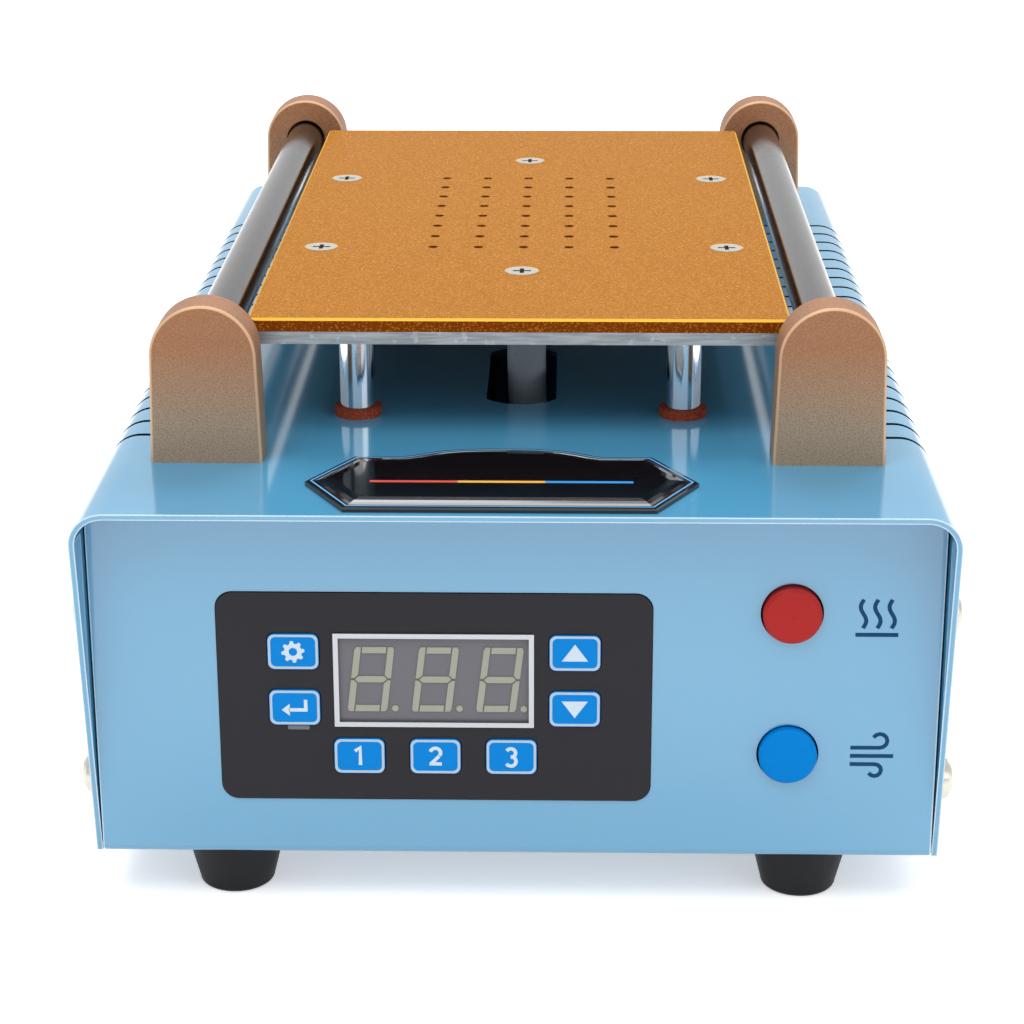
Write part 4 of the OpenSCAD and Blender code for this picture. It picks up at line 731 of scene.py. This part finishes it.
INK = 0.05
KEY_R = 1.4
KEY_BORDER = (0.1, 0.5)
COLLAR = 0.5
STROKE = 0.72
GEAR_TIP = 2.3
GEAR_FOOT = 1.75
GEAR_HOLE = 0.85
# The film's tab: its width, height, corners and thickness, and its place by the enter key
TAB = (4.3, 0.9, 0.2)
TAB_T = 0.12
TAB_RIGHT = 6.2
TAB_BACK = 0.3
TAB_BELOW = 0.15
key_print = plastic("key_print", srgb(200, 214, 226), 0.45, Specular_IOR_Level=0.2)
key_rim = plastic("key_rim", srgb(172, 192, 208), 0.45, Specular_IOR_Level=0.2)
key_tab = plastic("key_tab", srgb(96, 98, 104), 0.45)


def gear(place):
    """A gear of eight teeth with a round hole."""
    outer, inner = [], []
    for i in range(48):
        a = 2 * math.pi * i / 48
        r = GEAR_TIP if i % 6 < 3 else GEAR_FOOT
        outer.append((r * math.cos(a), r * math.sin(a)))
        inner.append((GEAR_HOLE * math.cos(a), GEAR_HOLE * math.sin(a)))
    return ring(outer, inner, place, INK)


def return_arrow(place):
    """An arrow that runs down and then points to the left."""
    stem = stroke([(2.2, 1.7), (2.2, -0.5), (-1.1, -0.5)], STROKE, place, INK)
    head = [(-2.6, -0.5), (-1.0, 0.8), (-1.0, -1.8)]
    return joined(stem, slab(head, place, INK))


def triangle(turn):
    """A triangle that points up for 1 and down for -1."""
    points = [(-2.6, -1.7 * turn), (2.6, -1.7 * turn), (0, 1.9 * turn)]
    return lambda place: slab(points, place, INK)


def numeral(*paths):
    """A numeral drawn with lines."""
    return lambda place: strokes(paths, STROKE, place, INK)


GLYPHS = {
    "key_set": gear,
    "key_enter": return_arrow,
    "key_up": triangle(1),
    "key_down": triangle(-1),
    "key_channel_1": numeral([(-0.9, 1.1), (0.15, 1.85), (0.15, -1.95)]),
    "key_channel_2": numeral(arc(0, 0.8, 1.05, 165, -35), [(0.75, 0.1), (-0.95, -1.6)],
                             [(-1.2, -1.6), (1.25, -1.6)]),
    "key_channel_3": numeral(arc(-0.1, 0.9, 0.95, 150, -90), arc(-0.1, -0.95, 1.05, 90, -150)),
}


def add_key_prints():
    """A border round each key and a glyph on it, which move with the key."""
    rim, width = KEY_BORDER
    for name, glyph in GLYPHS.items():
        low, high = (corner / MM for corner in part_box(name))
        w, h = (high.x - low.x - 2 * COLLAR, high.z - low.z - 2 * COLLAR)
        outer = rounded(w - 2 * rim, h - 2 * rim, KEY_R - rim)
        inner = rounded(w - 2 * (rim + width), h - 2 * (rim + width), KEY_R - rim - width / 2)
        place = on_front((low.x + high.x) / 2, low.y, (low.z + high.z) / 2)
        make(name + "_border", *ring(outer, inner, place, INK), key_rim, body=name)
        make(name + "_glyph", *glyph(place), key_print, body=name)


add_key_prints()


def add_key_tab():
    """The grey tab of the film that shows under the enter key."""
    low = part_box("key_enter")[0] / MM
    place = on_front(low.x + TAB_RIGHT, low.y + TAB_BACK, low.z - TAB_BELOW)
    make("key_enter_tab", *slab(rounded(*TAB), place, TAB_T), key_tab)


add_key_tab()


# Pictograms beside the two push buttons

legend_ink = plastic("legend_ink", srgb(18, 64, 104), 0.5, Specular_IOR_Level=0.1)
FRONT_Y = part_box("base_tray")[0].y / MM
LEGEND_X = 71.0
LEGEND_STROKE = 0.8


def wave(x, height, sway):
    """Points of an upright wave."""
    return [(x + sway * math.sin(2 * math.pi * i / 12), height * (i / 12 - 0.5)) for i in range(13)]


def add_legends():
    """Rising waves over a line for heat, and three lines of wind for air."""
    heat_z = (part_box("heat_button")[0].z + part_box("heat_button")[1].z) / 2 / MM
    air_z = (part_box("air_button")[0].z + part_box("air_button")[1].z) / 2 / MM
    place = on_front(LEGEND_X, FRONT_Y, heat_z)
    waves = [wave(x, 6.0, 0.6) for x in (-2.8, 0, 2.8)] + [[(-4.2, -4.4), (4.2, -4.4)]]
    make("legend_heat", *strokes(waves, LEGEND_STROKE, place, INK), legend_ink)
    place = on_front(LEGEND_X, FRONT_Y, air_z)
    winds = [[(-4.2, 1.4), (1.6, 1.4)] + arc(1.6, 2.9, 1.5, -90, 150),
             [(-4.2, -0.4), (4.4, -0.4)],
             [(-4.2, -2.2), (0.8, -2.2)] + arc(0.8, -3.5, 1.3, 90, -150)]
    make("legend_air", *strokes(winds, LEGEND_STROKE, place, INK), legend_ink)


add_legends()


# Name plate: a domed face, a thin blue line inside its edge and a stripe in three colours

badge_line = plastic("badge_line", srgb(96, 168, 222), 0.3)
BADGE_INSET = (0.9, 1.25)
BADGE_DOME = [(0, 0), (0.3, 0.16), (1.7, 0.2), (2.4, 0.42), (3.4, 0.6), (5, 0.7)]
STRIPE_Y = -127.5
STRIPE_W = 1.1
STRIPE_ENDS = (-28.5, -11.3, 5.8, 23)
STRIPE_COLOURS = (srgb(206, 70, 52), srgb(230, 170, 66), srgb(40, 140, 214))


def top_outline(node):
    """The outline of a flat plate's top face, in millimetres, anticlockwise."""
    mesh = frame["nodes"][node].data
    top = max(v.co.z for v in mesh.vertices)
    flat = {v.index for v in mesh.vertices if v.co.z > top - 1e-5}
    key = {i: (round(mesh.vertices[i].co.x / MM, 3), round(mesh.vertices[i].co.y / MM, 3)) for i in flat}
    steps = {}
    for face in mesh.polygons:
        ids = list(face.vertices)
        if all(i in flat for i in ids):
            for a, b in zip(ids, ids[1:] + ids[:1]):
                a, b = key[a], key[b]
                if steps.get(b) and a in steps[b]:
                    steps[b].remove(a)
                else:
                    steps.setdefault(a, []).append(b)
    start = next(a for a, ends in steps.items() if ends)
    outline, point = [], start
    while True:
        outline.append(point)
        point = steps[point].pop()
        if point == start:
            return outline


def inset(outline, distance):
    """The outline moved inwards by an even distance."""
    moved = []
    n = len(outline)
    for i in range(n):
        before, here, after = (Vector(outline[(i + k) % n]) for k in (-1, 0, 1))
        a = (here - before).normalized()
        b = (after - here).normalized()
        na, nb = Vector((-a.y, a.x)), Vector((-b.y, b.x))
        moved.append(tuple(here + (na + nb) * distance / (1 + na.dot(nb))))
    return moved


def dome(outline, place, profile):
    """Points and faces of a cap over an outline, from how far in and how high its rings lie."""
    n = len(outline)
    verts = [place(x, y, h) for d, h in profile for x, y in inset(outline, d)]
    faces = [tuple(reversed(range(n))), tuple(range(len(verts) - n, len(verts)))]
    for k in range(0, len(verts) - n, n):
        faces += [(k + i, k + (i + 1) % n, k + n + (i + 1) % n, k + n + i) for i in range(n)]
    return verts, faces


def add_badge_face():
    """The plate's domed face with its line and its stripe."""
    outline = top_outline("name_plate")
    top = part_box("name_plate")[1].z / MM
    face = make("name_plate_dome", *dome(outline, on_top(0, 0, top), BADGE_DOME), LOOKS["badge_black"])
    outer, inner = (inset(outline, d) for d in BADGE_INSET)
    make("name_plate_line", *ring(outer, inner, on_top(0, 0, top + BADGE_DOME[2][1]), INK), badge_line)
    place = on_top(0, STRIPE_Y, top + BADGE_DOME[-1][1])
    for k, colour in enumerate(STRIPE_COLOURS):
        ends = STRIPE_ENDS[k:k + 2]
        line = stroke([(ends[0], 0), (ends[1], 0)], STRIPE_W, place, INK)
        make(f"name_plate_stripe_{k}", *line, plastic(f"stripe_{k}", colour, 0.3))


add_badge_face()


# Rear panel: a label with empty rows and a diamond sticker with a band and a round stamp

REAR_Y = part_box("base_tray")[1].y / MM
LABEL_X = (37.5, 77.85)
LABEL_Z = (57.8, 86.4)
LABEL_R = 1.2
HEAD_LINE = 0.35
HEAD = [(-16.7, 8.7), (14.5, 8.7)]
ROW_LINE = 0.18
ROW_ENDS = (-16.7, 12.5)
LABEL_ROWS = (-8.8, -5.6, -2.4, 0.8, 4.0)
PAPER = 0.1
STICKER_AT = (22.5, 38.9)
STICKER_HALF = 24.5
STICKER_R = 1.6
BORDER_HALF = 22.6
BORDER_INSIDE = 21.35
BORDER_R = 1.0
BAND_V = (1.4, 9.6)
STAMP_AT = (-0.8, -5.6)
STAMP_R = 9.85
STAMP_LINE = 0.45
CHORD_HALF = 9.4
CHORD_V = (2.6, -2.6)
CHORD_LINE = 0.35
STICKER_ROWS = [[(-6.9, -3.6), (16.9, -3.6)], [(-3.9, -8.6), (11.3, -8.6)]]
STICKER_LINE = 0.3
label_paper = plastic("label_paper", srgb(204, 206, 208), 0.4, Specular_IOR_Level=0.2)
rule_ink = plastic("rule_ink", srgb(96, 98, 104), 0.5)
sticker_ink = plastic("sticker_ink", srgb(34, 62, 170), 0.4, Specular_IOR_Level=0.2)
stamp_ink = plastic("stamp_ink", srgb(196, 62, 46), 0.5)


def add_label():
    """A label with a head line over thinner rows."""
    w, h = LABEL_X[1] - LABEL_X[0], LABEL_Z[1] - LABEL_Z[0]
    x, z = sum(LABEL_X) / 2, sum(LABEL_Z) / 2
    paper = slab(rounded(w, h, LABEL_R), on_rear(x, REAR_Y, z), PAPER)
    make("rating_label", *paper, label_paper)
    place = on_rear(x, REAR_Y + PAPER, z)
    head = stroke(HEAD, HEAD_LINE, place, INK)
    rows = strokes([[(u, v) for u in ROW_ENDS] for v in LABEL_ROWS], ROW_LINE, place, INK / 2)
    make("rating_label_rules", *joined(head, rows), rule_ink)


def diamond(half, r):
    """The outline of a diamond with round corners."""
    points = []
    for k in range(4):
        a = math.radians(90 * k)
        out = half - r * math.sqrt(2)
        points += arc(out * math.cos(a), out * math.sin(a), r, 90 * k - 45, 90 * k + 45, 6)
    return points


def add_sticker():
    """A diamond with a border, a band, two rows and a round stamp over them."""
    place = on_rear(STICKER_AT[0], REAR_Y, STICKER_AT[1])
    make("quality_sticker", *slab(diamond(STICKER_HALF, STICKER_R), place, PAPER), label_paper)
    place = on_rear(STICKER_AT[0], REAR_Y + PAPER, STICKER_AT[1])
    border = ring(diamond(BORDER_HALF, BORDER_R), diamond(BORDER_INSIDE, BORDER_R), place, INK / 2)
    low, high = BAND_V
    reach = (BORDER_HALF + BORDER_INSIDE) / 2
    corners = [(reach - low, low), (reach - high, high), (high - reach, high), (low - reach, low)]
    band = slab(corners, place, INK / 3)
    rows = strokes(STICKER_ROWS, STICKER_LINE, place, INK / 2)
    make("quality_sticker_print", *joined(border, band, rows), sticker_ink)
    x, y = STAMP_AT
    circle = ring(*[arc(x, y, r, 0, 350, 35) for r in (STAMP_R, STAMP_R - STAMP_LINE)], place, INK)
    chords = [[(x - CHORD_HALF, y + v), (x + CHORD_HALF, y + v)] for v in CHORD_V]
    chords = strokes(chords, CHORD_LINE, place, INK * 0.8)
    make("quality_sticker_stamp", *joined(circle, chords), stamp_ink)


add_label()
add_sticker()


# Marks on the rocker and on the fuse drawer

ROCKER_SWING = 20.0
ROCKER_RISE = 4.4
ROCKER_FACE_R = 30.0
MARK_RING_AT = -2.3
MARK_RING_R = (1.7, 1.3)
MARK_DASH = [(0, 1.3), (0, 3.7)]
MARK_DASH_W = 0.5
FUSE_MARK_LEFT = 1.2
FUSE_MARK_LINE = 0.3
FUSE_MARK = [
    [(-1.7, 3.3), (-1.7, 6.8), (1.7, 6.8), (1.7, 3.3)], [(-0.9, 3.3), (0.9, 3.3)],
    [(-1.3, 2.9), (-1.3, -3.3)], [(1.3, 2.9), (1.3, -3.3)],
    [(-1.7, -6.8), (-1.7, -3.5), (1.7, -3.5), (1.7, -6.8)], [(-2.1, -6.9), (2.1, -6.9)]]
rocker_mark = plastic("rocker_mark", srgb(244, 238, 222), 0.4)
fuse_print = plastic("fuse_print", srgb(6, 6, 7), 0.5, Specular_IOR_Level=0.1)


def rocker_pivot():
    """The place of the rocker's joint, in millimetres."""
    joint = next(j for j in frame["joints"] if j["child"] == "rocker")
    return Vector(joint["pos_m"]) / MM


def on_rocker():
    """Places a drawing on the rocker's hollow face, as seen from behind at rest."""
    pivot = rocker_pivot()
    turn = math.radians(ROCKER_SWING / 2)

    def place(u, v, h):
        out = ROCKER_FACE_R + ROCKER_RISE - math.sqrt(ROCKER_FACE_R ** 2 - v ** 2) + h
        y = out * math.cos(turn) + v * math.sin(turn)
        z = -out * math.sin(turn) + v * math.cos(turn)
        return Vector((pivot.x - u, pivot.y + y, pivot.z + z)) * MM
    return place


def add_rocker_marks():
    """The circle for off and the dash for on."""
    place = on_rocker()
    circle = ring(*[arc(0, MARK_RING_AT, r, 0, 345, 23) for r in MARK_RING_R], place, INK)
    dash = stroke(MARK_DASH, MARK_DASH_W, place, INK)
    make("rocker_marks", *joined(circle, dash), rocker_mark, body="rocker")


def add_fuse_mark():
    """The outline of a fuse on the drawer's face."""
    low, high = (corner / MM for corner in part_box("fuse_drawer"))
    place = on_rear((low.x + high.x) / 2 - FUSE_MARK_LEFT, high.y, (low.z + high.z) / 2)
    lines = strokes(FUSE_MARK, FUSE_MARK_LINE, place, INK / 2)
    make("fuse_drawer_mark", *lines, fuse_print, body="fuse_drawer")


add_rocker_marks()
add_fuse_mark()


# Painted shade: dark crosses in the cross recesses of all visible screws

RECESS_SHARE = 0.55
RECESS_W = 0.9
RECESS_DEPTH = 1.0
SHADE_T = 0.5
SHADE_GAP = 0.02
recess_shade = plastic("recess_shade", srgb(30, 26, 24), 0.7, Specular_IOR_Level=0.1)


def solid_boxes(node):
    """The boxes of a node's separate solids, in millimetres, in a fixed order."""
    shape = bmesh.new()
    shape.from_mesh(frame["nodes"][node].data)
    bmesh.ops.remove_doubles(shape, verts=shape.verts, dist=1e-6)
    left = set(shape.verts)
    boxes = []
    while left:
        group, front = [], [left.pop()]
        while front:
            vert = front.pop()
            group.append(vert.co / MM)
            for edge in vert.link_edges:
                other = edge.other_vert(vert)
                if other in left:
                    left.remove(other)
                    front.append(other)
        boxes.append([tuple(round(pick(v[k] for v in group), 3) for k in range(3)) for pick in (min, max)])
    shape.free()
    return sorted(boxes)


def cross(d, place):
    """A cross as wide as the recess in a head of that diameter, from the recess's bottom up."""
    reach, half = d * RECESS_SHARE / 2 - SHADE_GAP, RECESS_W / 2 - SHADE_GAP
    outline = []
    for k in range(4):
        a = math.radians(90 * k)
        for u, v in ((half, half), (reach, half), (reach, -half)):
            outline.append((u * math.cos(a) + v * math.sin(a), v * math.cos(a) - u * math.sin(a)))
    return slab(outline, place, SHADE_T)


def add_recess_shades():
    """A dark cross of painted shade in the recess of each screw of the inlet, the sides and the plate."""
    parts = []
    for low, high in solid_boxes("inlet_screws"):
        place = on_rear((low[0] + high[0]) / 2, high[1] - RECESS_DEPTH, (low[2] + high[2]) / 2)
        parts.append(cross(high[0] - low[0], place))
    for low, high in solid_boxes("side_screws"):
        side = 1 if high[0] > 0 else -1
        x = (high[0] if side > 0 else low[0]) - side * RECESS_DEPTH
        y, z = (low[1] + high[1]) / 2, (low[2] + high[2]) / 2
        parts.append(cross(high[1] - low[1], on_side(x, y, z, side)))
    for low, high in solid_boxes("plate_screws"):
        place = on_top((low[0] + high[0]) / 2, (low[1] + high[1]) / 2, high[2] - RECESS_DEPTH)
        parts.append(cross(high[0] - low[0], place))
    make("recess_shades", *joined(*parts), recess_shade)


add_recess_shades()
